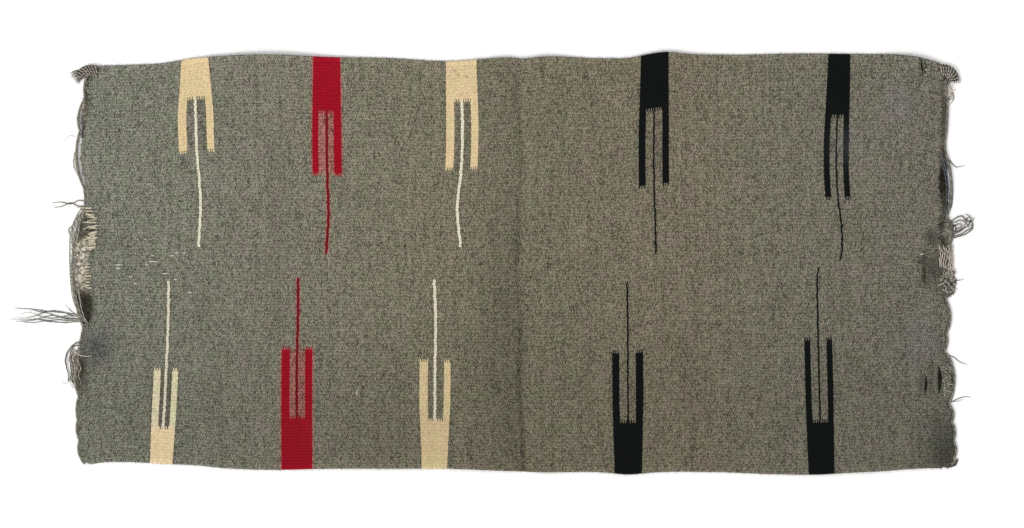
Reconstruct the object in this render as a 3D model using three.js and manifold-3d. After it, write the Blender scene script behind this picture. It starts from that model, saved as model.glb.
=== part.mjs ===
// A double saddle blanket, woven in one piece and lying flat: the web with its worn, scalloped ends,
// the twined cord along each end with its loose yarns, and the tassels at the two upper corners.
// Millimetres, +Z up, +X along the warp. The origin is under the middle of the whole piece.
import * as THREE from 'three';
import * as BufferGeometryUtils from 'three/addons/utils/BufferGeometryUtils.js';
import Module from 'manifold-3d';

// Driving dimensions
const WEB_LENGTH = 1480;
const WEB_WIDTH = 706;
const WEB_CENTRE_X = 40;
const WEB_THICKNESS = 4;
const WARP_PITCH = 5.1;
const CORD_THICKNESS = 4.6;
const CORD_SIDES = 6;
const YARN_SIDES = 4;
const PLY_THICKNESS = 2.6;
const YARN_THICKNESS = 1.8;
const GAP = 0.3;

// The steps in which curves are followed
const SELVAGE_STEP = 24;
const WORN_END_STEP = 9;
const CORD_STEP = 8;
const BOW_STEP = 12;
const YARN_STEP = 14;
const GRID_STEP = 38;

// A stretch of cord between two ties bows out as the sine of its course to this power, flat in its middle
const BOW_SHAPE = 0.75;
// Of yarns that lie side by side, every second and third ends a little shorter, by this share
const SHORTER = 0.05;
// A bare warp ends this far from the web
const WARP_CLEARANCE = 1.2;

const wasm = await Module();
wasm.setup();

// A table's rows, with each column named
const table = (columns, rows) =>
  rows.map((row) => Object.fromEntries(row.map((value, i) => [columns[i], value])));

// How far each long edge stands outside half the width, at places along the warp
const UPPER_SELVAGE = table(['x', 'out'], [
  [-675, -15], [-636, -14], [-559, -10], [-508, -2], [-457, 2], [-380, 4], [-277, 0], [-174, -2], [-72, -7],
  [-21, -4], [31, -1], [56, -3], [82, 0], [185, -2], [239, -1], [262, 4], [296, 8.7], [339, 5], [390, 4],
  [544, 6], [646, 5], [698, 4], [728, 0], [766, -10],
]);
const LOWER_SELVAGE = table(['x', 'out'], [
  [-698, -8], [-662, -13], [-610, -13], [-559, -10], [-508, -8], [-457, -3], [-380, 0], [-277, -2],
  [-174, -2], [-72, -2], [-21, 0], [31, 2], [82, 4], [185, 4], [236, 8], [270, 5], [390, 4], [467, 7],
  [561, 8], [612, 5], [672, 2], [723, -2], [783, -3],
]);

// Where the cord is loose or broken, the web's own worn end, outside half the length
const LEFT_WORN_END = table(['y', 'out'], [
  [-139, 5], [-114, -2], [-88, -13], [-68, -14], [-25, -8], [9, -10], [44, -18], [71, -19], [102, -9],
  [136, -4], [168, 3], [194, 4], [232, -3], [259, -8], [285, -9], [307, -5], [326, -18], [338, -25],
]);
const RIGHT_WORN_END = table(['y', 'out'], [
  [-49, 0], [-28, -7], [-4, -14], [13, -15], [40, -10], [67, -12], [97, -7], [121, -14], [143, -15],
  [170, -12], [194, -7], [228, -9.5], [269, -8], [297, -9], [320, -7], [343, -14],
]);

// The end cords, from tie to tie up the end, and how far each stretch bows out before the next tie
const LEFT_CORD = table(['y', 'out', 'bow'], [
  [-342.5, -3, 6], [-302, 5, 4], [-268, 8, 3.5], [-227, 6, 5], [-182, 9, 1], [-139, 5, 0], [-107, -1, 19],
  [89, -1, -3], [133, -1, 9], [227, 4, 7], [283, -4.5, 3.5], [321, -8, 0],
]);
const RIGHT_CORD = table(['y', 'out', 'bow'], [
  [-344, 6, 3.5], [-334, 9, 5], [-304, 9, 4.5], [-271, 6, 5.5], [-240, 1, 10], [-159, 1, 0], [-150, -6, 3.2],
  [-119, -3, 7.7], [-63, -4, 7], [61, 0, 0], [78, -3, 9.4], [186, -3, -1], [211, -4.5, 1.5], [281, -1, 0],
  [313, -5, 0],
]);

// The stretches where the cord's plies have come apart: how far each ply bows out
const LEFT_PLIES = table(['from', 'to', 'out', 'bow'], [
  [-107, 89, -1, 15], [-107, 89, -1, 10.5], [133, 215, 1, 13],
]);
const RIGHT_PLIES = table(['from', 'to', 'out', 'bow'], [
  [78, 186, -3, 5.5],
]);

// Where the weft is gone and the warps lie bare between the web and the cord
const LEFT_BARE_WARPS = table(['from', 'to'], [[31, 90], [-37, -4]]);
const RIGHT_BARE_WARPS = table(['from', 'to'], [[-12, 26]]);

// Broken yarns: how many, the way they lie, and how far they spread at the root and at the tip
const LEFT_LOOSE_YARNS = table(['count', 'rootSpread', 'tipSpread', 'way'], [
  [1, 0, 0, [[-696, 104], [-718, 106], [-752, 103]]],
  [1, 0, 0, [[-696, 99], [-721, 99], [-748, 95]]],
  [1, 0, 0, [[-710, 62], [-724, 58], [-721, 48]]],
  [7, 9, 24, [[-703, -95], [-728, -92], [-760, -86], [-823.2, -90]]],
  [1, 0, 0, [[-708, -85], [-720, -79], [-730, -70]]],
  [1, 0, 0, [[-704, -137], [-722, -140], [-730, -156], [-723, -199]]],
  [7, 3, 11, [[-709.5, -150], [-718, -180], [-720, -214]]],
  [1, 0, 0, [[-706, 215], [-714, 222], [-725, 228]]],
]);
const RIGHT_LOOSE_YARNS = table(['count', 'rootSpread', 'tipSpread', 'way'], [
  [1, 0, 0, [[777, 183], [790, 168], [798, 164], [808, 168]]],
  [1, 0, 0, [[776, 300], [787, 296], [789, 284], [778, 277]]],
  [3, 4, 10, [[778, 64], [795, 76], [808, 83], [816, 78]]],
  [1, 0, 0, [[779, 60], [797, 68], [812, 76], [823.1, 64], [812, 49], [797, 45], [780, 44]]],
  [1, 0, 0, [[779, 56], [799, 60], [813, 62], [806, 52], [780, 50]]],
  [7, 30, 36, [[781, -24], [789, -25], [795, -26]]],
  [1, 0, 0, [[783, -28], [797, -30], [807, -27]]],
  [1, 0, 0, [[779, -160], [797, -165], [814, -173]]],
  [1, 0, 0, [[783, -236], [804, -229], [820, -229]]],
  [4, 3, 8, [[789, -342], [795, -342], [799, -340]]],
]);

// The corner tassels: the knot of their head, and the way their yarns lie
const UPPER_LEFT_TASSEL = {
  head: { x: -688, y: 331, long: 23, wide: 17, high: 9, turn: 0.25 },
  yarns: { count: 9, rootSpread: 11, tipSpread: 20, way: [[-692, 330], [-704, 329], [-716, 321]] },
};
const UPPER_RIGHT_TASSEL = {
  head: { x: 775, y: 327, long: 20, wide: 22, high: 9, turn: 0 },
  yarns: { count: 8, rootSpread: 13, tipSpread: 21, way: [[778, 327], [786, 327], [795, 321]] },
};

// Slits where the web has parted along the weft, near its right end
const SLITS = table(['x', 'y', 'wide', 'long'], [
  [739, -207, 4.4, 34], [759.5, -198, 7, 50], [739.5, 336, 3, 34],
]);

// How the web lies: broad swells that stand off the floor, and the fold across its middle
const SWELLS = table(['x', 'y', 'reachX', 'reachY', 'lift'], [
  [-383, 362, 125, 55, 5.5], [304, 366, 80, 45, 3.5], [716, 360, 55, 45, 4.5], [-157, -358, 150, 50, 3.5],
  [640, -364, 110, 45, 3], [-368, 60, 45, 170, 2.2], [-474, -290, 45, 90, 2.2], [339, -240, 50, 110, 1.8],
]);
const SWELL_REST = 0.5;
const FOLD = { upperX: 44, lowerX: 52, shoulder: 45, reach: 150, lift: 2.6 };
const FOLD_COLUMNS = [0, 12, 45, 95];

// The line of the fold at a height up the web
function foldX(y) {
  return THREE.MathUtils.mapLinear(y, WEB_WIDTH / 2, -WEB_WIDTH / 2, FOLD.upperX, FOLD.lowerX);
}

// The height of the web's underside above the floor
function lie(x, y) {
  const swell = SWELLS.reduce((sum, s) => sum
    + s.lift * Math.exp(-(((x - s.x) / s.reachX) ** 2) - ((y - s.y) / s.reachY) ** 2), 0);
  const away = Math.abs(x - foldX(y));
  const rise = THREE.MathUtils.smoothstep(away, 0, FOLD.shoulder);
  const fall = 1 - THREE.MathUtils.smoothstep(away, FOLD.shoulder, FOLD.reach);
  return Math.max(0, swell - SWELL_REST) + FOLD.lift * rise * fall;
}

// A three.js geometry as a solid that can be cut and joined
function solid(geometry) {
  const bare = geometry.index ? geometry.toNonIndexed() : geometry.clone();
  bare.deleteAttribute('normal');
  bare.deleteAttribute('uv');
  const merged = BufferGeometryUtils.mergeVertices(bare, 1e-4);
  return new wasm.Manifold(new wasm.Mesh({
    numProp: 3,
    vertProperties: new Float32Array(merged.attributes.position.array),
    triVerts: new Uint32Array(merged.index.array),
  }));
}

// A solid as a named mesh
function piece(name, shape, material) {
  const { vertProperties, triVerts } = shape.getMesh();
  const geometry = new THREE.BufferGeometry();
  geometry.setAttribute('position', new THREE.BufferAttribute(new Float32Array(vertProperties), 3));
  geometry.setIndex(new THREE.BufferAttribute(new Uint32Array(triVerts), 1));
  geometry.computeVertexNormals();
  const mesh = new THREE.Mesh(geometry, material);
  mesh.name = name;
  return mesh;
}

// A smooth line through points of the floor, in even steps
function smoothLine(points, step) {
  const stations = points.map(([x, y]) => new THREE.Vector3(x, y, 0));
  const curve = new THREE.CatmullRomCurve3(stations, false, 'centripetal');
  return curve.getSpacedPoints(Math.max(2, Math.round(curve.getLength() / step)));
}

// A section of a given thickness with flat sides, one of them underneath
function flatSidedSection(sides, thickness) {
  const radius = thickness / 2 / Math.cos(Math.PI / sides);
  return new THREE.Shape(Array.from({ length: sides }, (_, k) => {
    const angle = ((k + 0.5) / sides) * 2 * Math.PI;
    return new THREE.Vector2(radius * Math.cos(angle), radius * Math.sin(angle));
  }));
}

// A yarn or cord that lies on the floor along a line of points
function laidYarn(line, sides, thickness) {
  const raised = line.map((p) => new THREE.Vector3(p.x, p.y, thickness / 2));
  return solid(new THREE.ExtrudeGeometry(flatSidedSection(sides, thickness), {
    extrudePath: new THREE.CatmullRomCurve3(raised, false, 'centripetal'),
    steps: raised.length - 1,
  }));
}

// The room that a cord needs: an upright wall along its line, a gap wider than the cord on each side
function roomAlong(line) {
  const tall = 10 * WEB_THICKNESS;
  const half = CORD_THICKNESS / 2 / Math.cos(Math.PI / CORD_SIDES) + GAP;
  const section = new THREE.Shape([[-tall, -half], [tall, -half], [tall, half], [-tall, half]]
    .map(([a, b]) => new THREE.Vector2(a, b)));
  return solid(new THREE.ExtrudeGeometry(section, {
    extrudePath: new THREE.CatmullRomCurve3(line, false, 'centripetal'),
    steps: line.length - 1,
  }));
}

// A place across the web, from how far it stands outside one end; side is -1 on the left, 1 on the right
function outside(side, out) {
  return WEB_CENTRE_X + side * (WEB_LENGTH / 2 + out);
}

// The line of an end cord, which bows out between its ties
function cordLine(ties, side) {
  const points = ties.slice(0, -1).flatMap((tie, i) => {
    const next = ties[i + 1];
    const stops = Math.max(2, Math.round((next.y - tie.y) / BOW_STEP));
    return Array.from({ length: stops }, (_, k) => {
      const t = k / stops;
      const out = THREE.MathUtils.lerp(tie.out, next.out, t) + tie.bow * Math.sin(Math.PI * t) ** BOW_SHAPE;
      return [outside(side, out), THREE.MathUtils.lerp(tie.y, next.y, t)];
    });
  });
  const last = ties.at(-1);
  return smoothLine([...points, [outside(side, last.out), last.y]], CORD_STEP);
}

// Where a line that runs up an end stands at height y
function acrossAt(line, y) {
  const i = line.findIndex((p, k) => k > 0 && p.y >= y);
  const [a, b] = [line[i - 1], line[i]];
  return THREE.MathUtils.mapLinear(y, a.y, b.y, a.x, b.x);
}

// A small even spread of values about zero
function spread(count, width) {
  return Array.from({ length: count }, (_, k) => (count > 1 ? (k / (count - 1) - 0.5) * width : 0));
}

// The yarns of one row, side by side along their way, fanned from root to tip
function looseYarns({ count, rootSpread, tipSpread, way }) {
  const [dx, dy] = [way.at(-1)[0] - way[0][0], way.at(-1)[1] - way[0][1]];
  const span = Math.hypot(dx, dy);
  const atRoot = spread(count, rootSpread);
  const atTip = spread(count, tipSpread);
  return atTip.map((tip, k) => {
    const points = way.map(([x, y], i) => {
      const t = i / (way.length - 1);
      const aside = THREE.MathUtils.lerp(atRoot[k], tip, t) / span;
      const back = t * SHORTER * (k % 3);
      return [x - dy * aside - dx * back, y + dx * aside - dy * back];
    });
    return laidYarn(smoothLine(points, YARN_STEP), YARN_SIDES, YARN_THICKNESS);
  });
}

// The bare warps of one row, from the cord to a gap short of the web
function bareWarps({ from, to }, cord, wornEnd, side) {
  const count = Math.round((to - from) / WARP_PITCH);
  return Array.from({ length: count }, (_, k) => {
    const y = from + (k + 0.5) * WARP_PITCH;
    const root = new THREE.Vector3(acrossAt(cord, y), y, 0);
    const tip = new THREE.Vector3(acrossAt(wornEnd, y) + side * WARP_CLEARANCE, y, 0);
    return laidYarn([root, tip], YARN_SIDES, YARN_THICKNESS);
  });
}

// One end's cord with all that is still tied to it
function endCord({ side, plies, warps, yarns }, line, wornEnd) {
  const cord = line.map((p) => p.clone());
  cord[0].lerp(cord[1], GAP / CORD_STEP);
  cord.at(-1).lerp(cord.at(-2), GAP / CORD_STEP);
  const parts = [laidYarn(cord, CORD_SIDES, CORD_THICKNESS)];
  plies.forEach(({ from, to, out, bow }) => {
    const ply = cordLine([{ y: from, out, bow }, { y: to, out, bow: 0 }], side);
    ply[0].x = acrossAt(line, from);
    ply.at(-1).x = acrossAt(line, to);
    parts.push(laidYarn(ply, YARN_SIDES, PLY_THICKNESS));
  });
  warps.forEach((row) => parts.push(...bareWarps(row, line, wornEnd, side)));
  yarns.forEach((row) => parts.push(...looseYarns(row)));
  return parts.reduce((sum, part) => sum.add(part));
}

// A tassel: the knot of its head and the yarns that leave it
function tassel({ head, yarns }) {
  const knot = new THREE.SphereGeometry(0.5, 14, 8);
  knot.rotateX(Math.PI / 2);
  knot.scale(head.long, head.wide, head.high);
  knot.rotateZ(head.turn);
  knot.translate(head.x, head.y, head.high / 2);
  return looseYarns(yarns).reduce((sum, part) => sum.add(part), solid(knot));
}

// The upright room that a tassel's head needs in the web's corner
function roomForHead({ x, y, long, wide, turn }) {
  const outline = new THREE.Shape();
  outline.absellipse(x, y, long / 2 + GAP, wide / 2 + GAP, 0, 2 * Math.PI, false, turn);
  return upright(outline, 28);
}

// A flat outline raised to an upright block that passes through the whole web
function upright(outline, curveSegments) {
  const depth = 10 * WEB_THICKNESS;
  const block = new THREE.ExtrudeGeometry(outline, { depth, bevelEnabled: false, curveSegments });
  block.translate(0, 0, -depth / 4);
  return solid(block);
}

// A long, pointed slit
function slit({ x, y, wide, long }) {
  const outline = new THREE.Shape();
  outline.moveTo(x, y - long / 2);
  outline.quadraticCurveTo(x + wide, y, x, y + long / 2);
  outline.quadraticCurveTo(x - wide, y, x, y - long / 2);
  return upright(outline, 4);
}

// The web as cloth off the loom, before its outline is cut: an even slab laid over its swells, whose
// columns of points close up and follow the fold where they are near it
function laidSlab() {
  const margin = GRID_STEP;
  const length = WEB_LENGTH + 2 * margin;
  const width = WEB_WIDTH + 2 * margin;
  const columns = Math.round(length / GRID_STEP);
  const rows = Math.round(width / GRID_STEP);
  const slab = new THREE.BoxGeometry(length, width, WEB_THICKNESS, columns, rows, 1);
  const columnAt = (x) => Math.round((x + length / 2) * (columns / length));
  const foldColumn = columnAt(foldX(0) - WEB_CENTRE_X);
  const position = slab.attributes.position;
  for (let i = 0; i < position.count; i += 1) {
    const y = position.getY(i);
    const fromFold = columnAt(position.getX(i)) - foldColumn;
    const near = FOLD_COLUMNS[Math.abs(fromFold)];
    const x = near === undefined ? position.getX(i) + WEB_CENTRE_X : foldX(y) + Math.sign(fromFold) * near;
    position.setX(i, x);
    position.setZ(i, position.getZ(i) + WEB_THICKNESS / 2 + lie(x, y));
  }
  return solid(slab);
}

// A selvage, along the upper or the lower edge
function selvage(rows, side) {
  return smoothLine(rows.map(({ x, out }) => [x, side * (WEB_WIDTH / 2 + out)]), SELVAGE_STEP);
}

// The web's worn end, where its cord has left it
function wornEnd({ side, worn }) {
  return smoothLine(worn.map(({ y, out }) => [outside(side, out), y]), WORN_END_STEP);
}

// One whole end of the web: where the cord binds it the outline is the cord's own line, and above that
// the worn end
function boundEnd(cord, worn) {
  return [...cord.filter((p) => p.y < worn[0].y - GAP), ...worn];
}

const LEFT = {
  side: -1, ties: LEFT_CORD, plies: LEFT_PLIES,
  warps: LEFT_BARE_WARPS, yarns: LEFT_LOOSE_YARNS, worn: LEFT_WORN_END,
};
const RIGHT = {
  side: 1, ties: RIGHT_CORD, plies: RIGHT_PLIES,
  warps: RIGHT_BARE_WARPS, yarns: RIGHT_LOOSE_YARNS, worn: RIGHT_WORN_END,
};
const leftCord = cordLine(LEFT.ties, LEFT.side);
const rightCord = cordLine(RIGHT.ties, RIGHT.side);
const leftWorn = wornEnd(LEFT);
const rightWorn = wornEnd(RIGHT);

// The web's outline once round, from the lower left corner
const webOutline = new THREE.Shape([
  ...selvage(LOWER_SELVAGE, -1),
  ...boundEnd(rightCord, rightWorn).slice(0, -1),
  ...selvage(UPPER_SELVAGE, 1).reverse(),
  ...boundEnd(leftCord, leftWorn).slice(1, -1).reverse(),
].map((p) => new THREE.Vector2(p.x, p.y)));

const rooms = [
  roomAlong(leftCord), roomAlong(rightCord),
  roomForHead(UPPER_LEFT_TASSEL.head), roomForHead(UPPER_RIGHT_TASSEL.head),
  ...SLITS.map(slit),
];
const web = rooms.reduce((cloth, room) => cloth.subtract(room), laidSlab().intersect(upright(webOutline, 1)));

const webWool = new THREE.MeshStandardMaterial({ color: 0x6d6a5f, roughness: 0.95, metalness: 0 });
const cordWool = new THREE.MeshStandardMaterial({ color: 0x5d5a51, roughness: 0.95, metalness: 0 });

const blanket = new THREE.Group();
blanket.add(
  piece('woven_web', web, webWool),
  piece('left_end_cord', endCord(LEFT, leftCord, leftWorn), cordWool),
  piece('right_end_cord', endCord(RIGHT, rightCord, rightWorn), cordWool),
  piece('upper_left_tassel', tassel(UPPER_LEFT_TASSEL), cordWool),
  piece('upper_right_tassel', tassel(UPPER_RIGHT_TASSEL), cordWool),
);

export default blanket;
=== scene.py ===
import math
from functools import partial

import bpy
import numpy as np
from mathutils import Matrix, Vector


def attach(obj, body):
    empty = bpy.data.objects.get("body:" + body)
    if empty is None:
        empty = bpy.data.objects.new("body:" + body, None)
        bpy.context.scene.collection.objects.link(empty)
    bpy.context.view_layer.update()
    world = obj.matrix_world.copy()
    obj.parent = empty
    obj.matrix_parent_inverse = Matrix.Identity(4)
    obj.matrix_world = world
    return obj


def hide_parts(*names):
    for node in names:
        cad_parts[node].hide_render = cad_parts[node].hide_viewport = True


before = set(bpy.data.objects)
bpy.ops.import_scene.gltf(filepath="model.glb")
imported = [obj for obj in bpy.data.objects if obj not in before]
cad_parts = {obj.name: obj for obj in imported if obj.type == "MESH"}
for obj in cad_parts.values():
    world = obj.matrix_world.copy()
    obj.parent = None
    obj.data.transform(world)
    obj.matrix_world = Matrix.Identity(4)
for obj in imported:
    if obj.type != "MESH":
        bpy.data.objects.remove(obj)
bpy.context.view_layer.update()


# The floor, the light and the camera
# A plain white sweep in an even white room, with one softbox low on the left, and a camera straight above
# the blanket, far enough off that it takes in 1.75 m of floor.
MM = 0.001
FLOOR_SIZE = 14.0
FLOOR_WHITE = "#f6f6f5"
FLOOR_ROUGHNESS = 0.9
SKY_WHITE = "#fdfdff"
SKY_STRENGTH = 0.88
LAMP_WARMTH = "#fffaf2"
LAMP_POWER = 520.0
LAMP_PLACE = (-6.0, -4.5, 7.0)
LAMP_SIZE = 2.6
LENS_MM = 85.0
SENSOR_MM = 36.0
FLOOR_SEEN = 1.751
VIEW_CENTRE = (0.0342, -0.0009)
CLOTH_TOP = 0.004


def linear(hex_colour):
    """An sRGB hex colour as linear red, green, blue and alpha."""
    channels = [int(hex_colour[i:i + 2], 16) / 255 for i in (1, 3, 5)]
    return [c / 12.92 if c <= 0.04045 else ((c + 0.055) / 1.055) ** 2.4 for c in channels] + [1.0]


def add(tree, kind, *values, **settings):
    """A node with its settings, and its inputs in their order, or by name or number in a dict.

    A kind that is only an operation is a Math node's. An input is a value, a socket, or a node, which
    stands for its first output.
    """
    made = tree.nodes.new(kind if "Node" in kind else "ShaderNodeMath")
    if "Node" not in kind:
        made.operation = kind
    for name, value in settings.items():
        setattr(made, name, value)
    inputs = values[0] if values and isinstance(values[0], dict) else dict(enumerate(values))
    for key, value in inputs.items():
        if isinstance(value, bpy.types.Node):
            value = value.outputs[0]
        if isinstance(value, bpy.types.NodeSocket):
            tree.links.new(value, made.inputs[key])
        else:
            made.inputs[key].default_value = value
    return made


def new_material(name):
    """A material with an empty node tree, and what adds a node to that tree."""
    material = bpy.data.materials.new(name)
    material.use_nodes = True
    material.node_tree.nodes.clear()
    return material, partial(add, material.node_tree)


def new_mesh_object(name, points, faces=(), **attributes):
    """A smooth object at the origin from points in metres and faces, with named values at its points."""
    mesh = bpy.data.meshes.new(name)
    mesh.from_pydata(points, [], faces)
    mesh.shade_smooth()
    for attribute, values in attributes.items():
        stored = mesh.attributes.new(attribute, "FLOAT", "POINT").data
        stored.foreach_set("value", np.asarray(values, np.float32))
    made = bpy.data.objects.new(name, mesh)
    bpy.context.scene.collection.objects.link(made)
    return made


half = FLOOR_SIZE / 2
floor = new_mesh_object(
    "floor", [(-half, -half, 0), (half, -half, 0), (half, half, 0), (-half, half, 0)], [(0, 1, 2, 3)]
)
paper, put = new_material("matt white paper")
put("ShaderNodeOutputMaterial", put("ShaderNodeBsdfPrincipled", {
    "Base Color": linear(FLOOR_WHITE), "Roughness": FLOOR_ROUGHNESS}))
floor.data.materials.append(paper)

scene = bpy.context.scene
scene.view_settings.view_transform = "Standard"
scene.world = bpy.data.worlds.new("soft white room")
scene.world.use_nodes = True
room = scene.world.node_tree.nodes["Background"].inputs
room["Color"].default_value = linear(SKY_WHITE)
room["Strength"].default_value = SKY_STRENGTH

lamp = bpy.data.objects.new("softbox", bpy.data.lights.new("softbox", "AREA"))
lamp.data.size = LAMP_SIZE
lamp.data.energy = LAMP_POWER
lamp.data.color = linear(LAMP_WARMTH)[:3]
lamp.location = LAMP_PLACE
lamp.rotation_euler = (Vector((0, 0, 0)) - Vector(LAMP_PLACE)).to_track_quat("-Z", "Y").to_euler()
scene.collection.objects.link(lamp)

camera = bpy.data.objects.new("camera", bpy.data.cameras.new("camera"))
camera.data.lens = LENS_MM
camera.data.sensor_width = SENSOR_MM
camera.location = (*VIEW_CENTRE, CLOTH_TOP + FLOOR_SEEN * LENS_MM / SENSOR_MM)
scene.collection.objects.link(camera)
scene.camera = camera


# The woven web
# One piece of weft-faced wool tapestry, heathered grey, with ten narrow pronged bars woven in from its
# long edges. Its warps lie along X, five to the inch, and each raises a rib. It lies as it was put down:
# low swells, a pressed fold across its middle, two ends worn back, and three slits. Sizes are in mm.
WARPS = 138
WEB_WIDTH = 706.0
WEB_LENGTH = 1480.0
WEB_CENTRE_X = 40.0
WEB_THICKNESS = 4.0
RIB_DEPTH = 0.85
ROWS_PER_WARP = 2
EDGE_THICKNESS = 0.45
CORD_HALF = 2.3
END_REACH = 70.0
CORNER_RADIUS = 13.0
# How far each long edge stands outside half the width, at x
UPPER_SELVAGE = [
    (-675, -15), (-636, -14), (-559, -10), (-508, -2), (-457, 2), (-380, 4), (-277, 0), (-174, -2),
    (-72, -7), (-21, -4), (31, -1), (56, -3), (82, 0), (185, -2), (239, -1), (262, 4), (296, 8.7),
    (339, 5), (390, 4), (544, 6), (646, 5), (698, 4), (728, 0), (766, -10),
]
LOWER_SELVAGE = [
    (-698, -8), (-662, -13), (-610, -13), (-559, -10), (-508, -8), (-457, -3), (-380, 0), (-277, -2),
    (-174, -2), (-72, -2), (-21, 0), (31, 2), (82, 4), (185, 4), (236, 8), (270, 5), (390, 4), (467, 7),
    (561, 8), (612, 5), (672, 2), (723, -2), (783, -3),
]
# Where the cord is loose, how far the web's own worn end stands outside half the length, at y
LEFT_WORN_END = [
    (-139, 5), (-114, -2), (-88, -13), (-68, -14), (-25, -8), (9, -10), (44, -18), (71, -19), (102, -9),
    (136, -4), (168, 3), (194, 4), (232, -3), (259, -8), (285, -9), (307, -5), (326, -18), (338, -25),
]
RIGHT_WORN_END = [
    (-49, 0), (-28, -7), (-4, -14), (13, -15), (40, -10), (67, -12), (97, -7), (121, -14), (143, -15),
    (170, -12), (194, -7), (228, -9.5), (269, -8), (297, -9), (320, -7), (343, -14),
]
# Each end cord's ties: y, how far out, and how far it bows out on the way to the next tie
LEFT_CORD = [
    (-342.5, -3, 6), (-302, 5, 4), (-268, 8, 3.5), (-227, 6, 5), (-182, 9, 1), (-139, 5, 0), (-107, -1, 19),
    (89, -1, -3), (133, -1, 9), (227, 4, 7), (283, -4.5, 3.5), (321, -8, 0),
]
RIGHT_CORD = [
    (-344, 6, 3.5), (-334, 9, 5), (-304, 9, 4.5), (-271, 6, 5.5), (-240, 1, 10), (-159, 1, 0),
    (-150, -6, 3.2),
    (-119, -3, 7.7), (-63, -4, 7), (61, 0, 0), (78, -3, 9.4), (186, -3, -1), (211, -4.5, 1.5), (281, -1, 0),
    (313, -5, 0),
]
BOW_SHAPE = 0.75
# The swells that it lies in: x, y, reach along, reach across, lift
SWELLS = [
    (-383, 366, 125, 40, 8.5), (60, 366, 60, 30, 4.5), (304, 366, 80, 35, 4.5), (730, 360, 50, 40, 6),
    (-157, -358, 150, 50, 3.5),
    (640, -364, 110, 45, 3), (-368, 60, 45, 170, 2.2), (-474, -290, 45, 90, 2.2), (339, -240, 50, 110, 1.8),
]
SWELL_REST = 0.5
WORN_RAG = 1.6
# The pressed fold: the line that it takes, at y, and its valley and crease
FOLD_LINE = [
    (-353, 54), (-302, 53), (-216, 48), (-131, 49.6), (-45, 43), (40, 44.5), (126, 48), (211, 49.5),
    (297, 44.5), (353, 44),
]
FOLD_X = 48.0
FOLD_LIFT = 2.6
FOLD_SHOULDER = 34.0
FOLD_FALL = 150.0
CREASE_DEPTH = 1.3
CREASE_REACH = 5.5
# Slits where the wefts have parted: x, y, wide, long
SLITS = [(739, -207, 4.4, 34), (759.5, -198, 7, 50), (739.5, 336, 3, 34)]
# Up to each x, the columns of the mesh are this far apart
COLUMNS = [(-655, 5.5), (8, 9.9), (88, 3.8), (739.25, 9.9), (759.5, 5), (780, 5)]
# The bars, charted in warps from their edge: x, edge, width at the edge and at the prongs' tips, the left
# and the right prong's width, depth of the block, the prongs and the needle, the needle's width, its yarn,
# and how far the bar leans at the edge, the prongs' tips, half down the needle, and its tip
BARS = [
    (-508.7, 1, 46, 61, 14.6, 12.0, 14, 32, 64, 4.4, "cream", (0.5, 4.0, 10.1, 6.7)),
    (-282.7, 1, 46, 50, 10.8, 13.0, 19, 40, 66, 4.4, "red", (0.0, 0.9, 2.9, -1.2)),
    (-52.5, 1, 52, 55, 13.7, 12.3, 14, 37, 63, 4.6, "cream", (0.0, -0.3, -7.0, -1.2)),
    (278.2, 1, 47, 52, 11.8, 11.5, 19, 44, 66, 3.0, "black", (0.0, -0.9, 0.9, 2.2)),
    (593.9, 1, 38, 43, 10.3, 9.9, 21, 48, 68, 3.0, "black", (0.0, -1.9, 4.3, 4.6)),
    (-565.7, 0, 38, 42, 12.0, 10.2, 13, 33, 63, 4.4, "pale cream", (0.0, 8.6, 11.6, 12.8)),
    (-333.6, 0, 53, 53, 14.4, 12.3, 18, 41, 64, 4.4, "red", (0.0, 0.3, 1.9, 1.9)),
    (-95.8, 0, 43, 53, 14.4, 11.1, 17, 37, 64, 4.6, "cream", (-2.7, -1.5, -0.7, -3.4)),
    (233.1, 0, 47, 53, 12.1, 12.8, 18, 41, 64, 3.0, "black", (0.0, -1.0, -1.2, -2.2)),
    (560.9, 0, 44, 48, 10.5, 9.9, 18, 45, 68, 3.0, "black", (2.6, -3.2, -4.4, -5.5)),
]


def eased(rows, at):
    """Values between the rows of a two-column table, on a smooth curve through them."""
    x, y = np.array(rows, float).T
    slope = np.gradient(y, x)
    at = np.clip(at, x[0], x[-1])
    i = np.clip(np.searchsorted(x, at) - 1, 0, len(x) - 2)
    step = x[i + 1] - x[i]
    t = (at - x[i]) / step
    return (
        (1 + 2 * t) * (1 - t) ** 2 * y[i] + t * (1 - t) ** 2 * step * slope[i]
        + t * t * (3 - 2 * t) * y[i + 1] - t * t * (1 - t) * step * slope[i + 1]
    )


def smoothstep(low, high, at):
    """0 below low, 1 above high, and a smooth rise between."""
    t = np.clip((at - low) / (high - low), 0, 1)
    return t * t * (3 - 2 * t)


def cord_out(ties, y):
    """How far outside half the web's length an end cord runs at y."""
    tie_y, out, bow = np.array(ties, float).T
    i = np.clip(np.searchsorted(tie_y, y) - 1, 0, len(tie_y) - 2)
    t = np.clip((y - tie_y[i]) / (tie_y[i + 1] - tie_y[i]), 0, 1)
    return out[i] + (out[i + 1] - out[i]) * t + bow[i] * np.sin(np.pi * t) ** BOW_SHAPE


def web_end_out(ties, worn, y):
    """How far the web's end stands out at y: tucked under its cord where that binds it, worn above."""
    bound = cord_out(ties, y) - CORD_HALF
    into_corner = np.clip(-WEB_WIDTH / 2 + CORNER_RADIUS + 8 - y, 0, CORNER_RADIUS)
    bound = bound - CORNER_RADIUS + np.sqrt(CORNER_RADIUS ** 2 - into_corner ** 2)
    return np.where(y < worn[0][0], bound, eased(worn, y))


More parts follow.
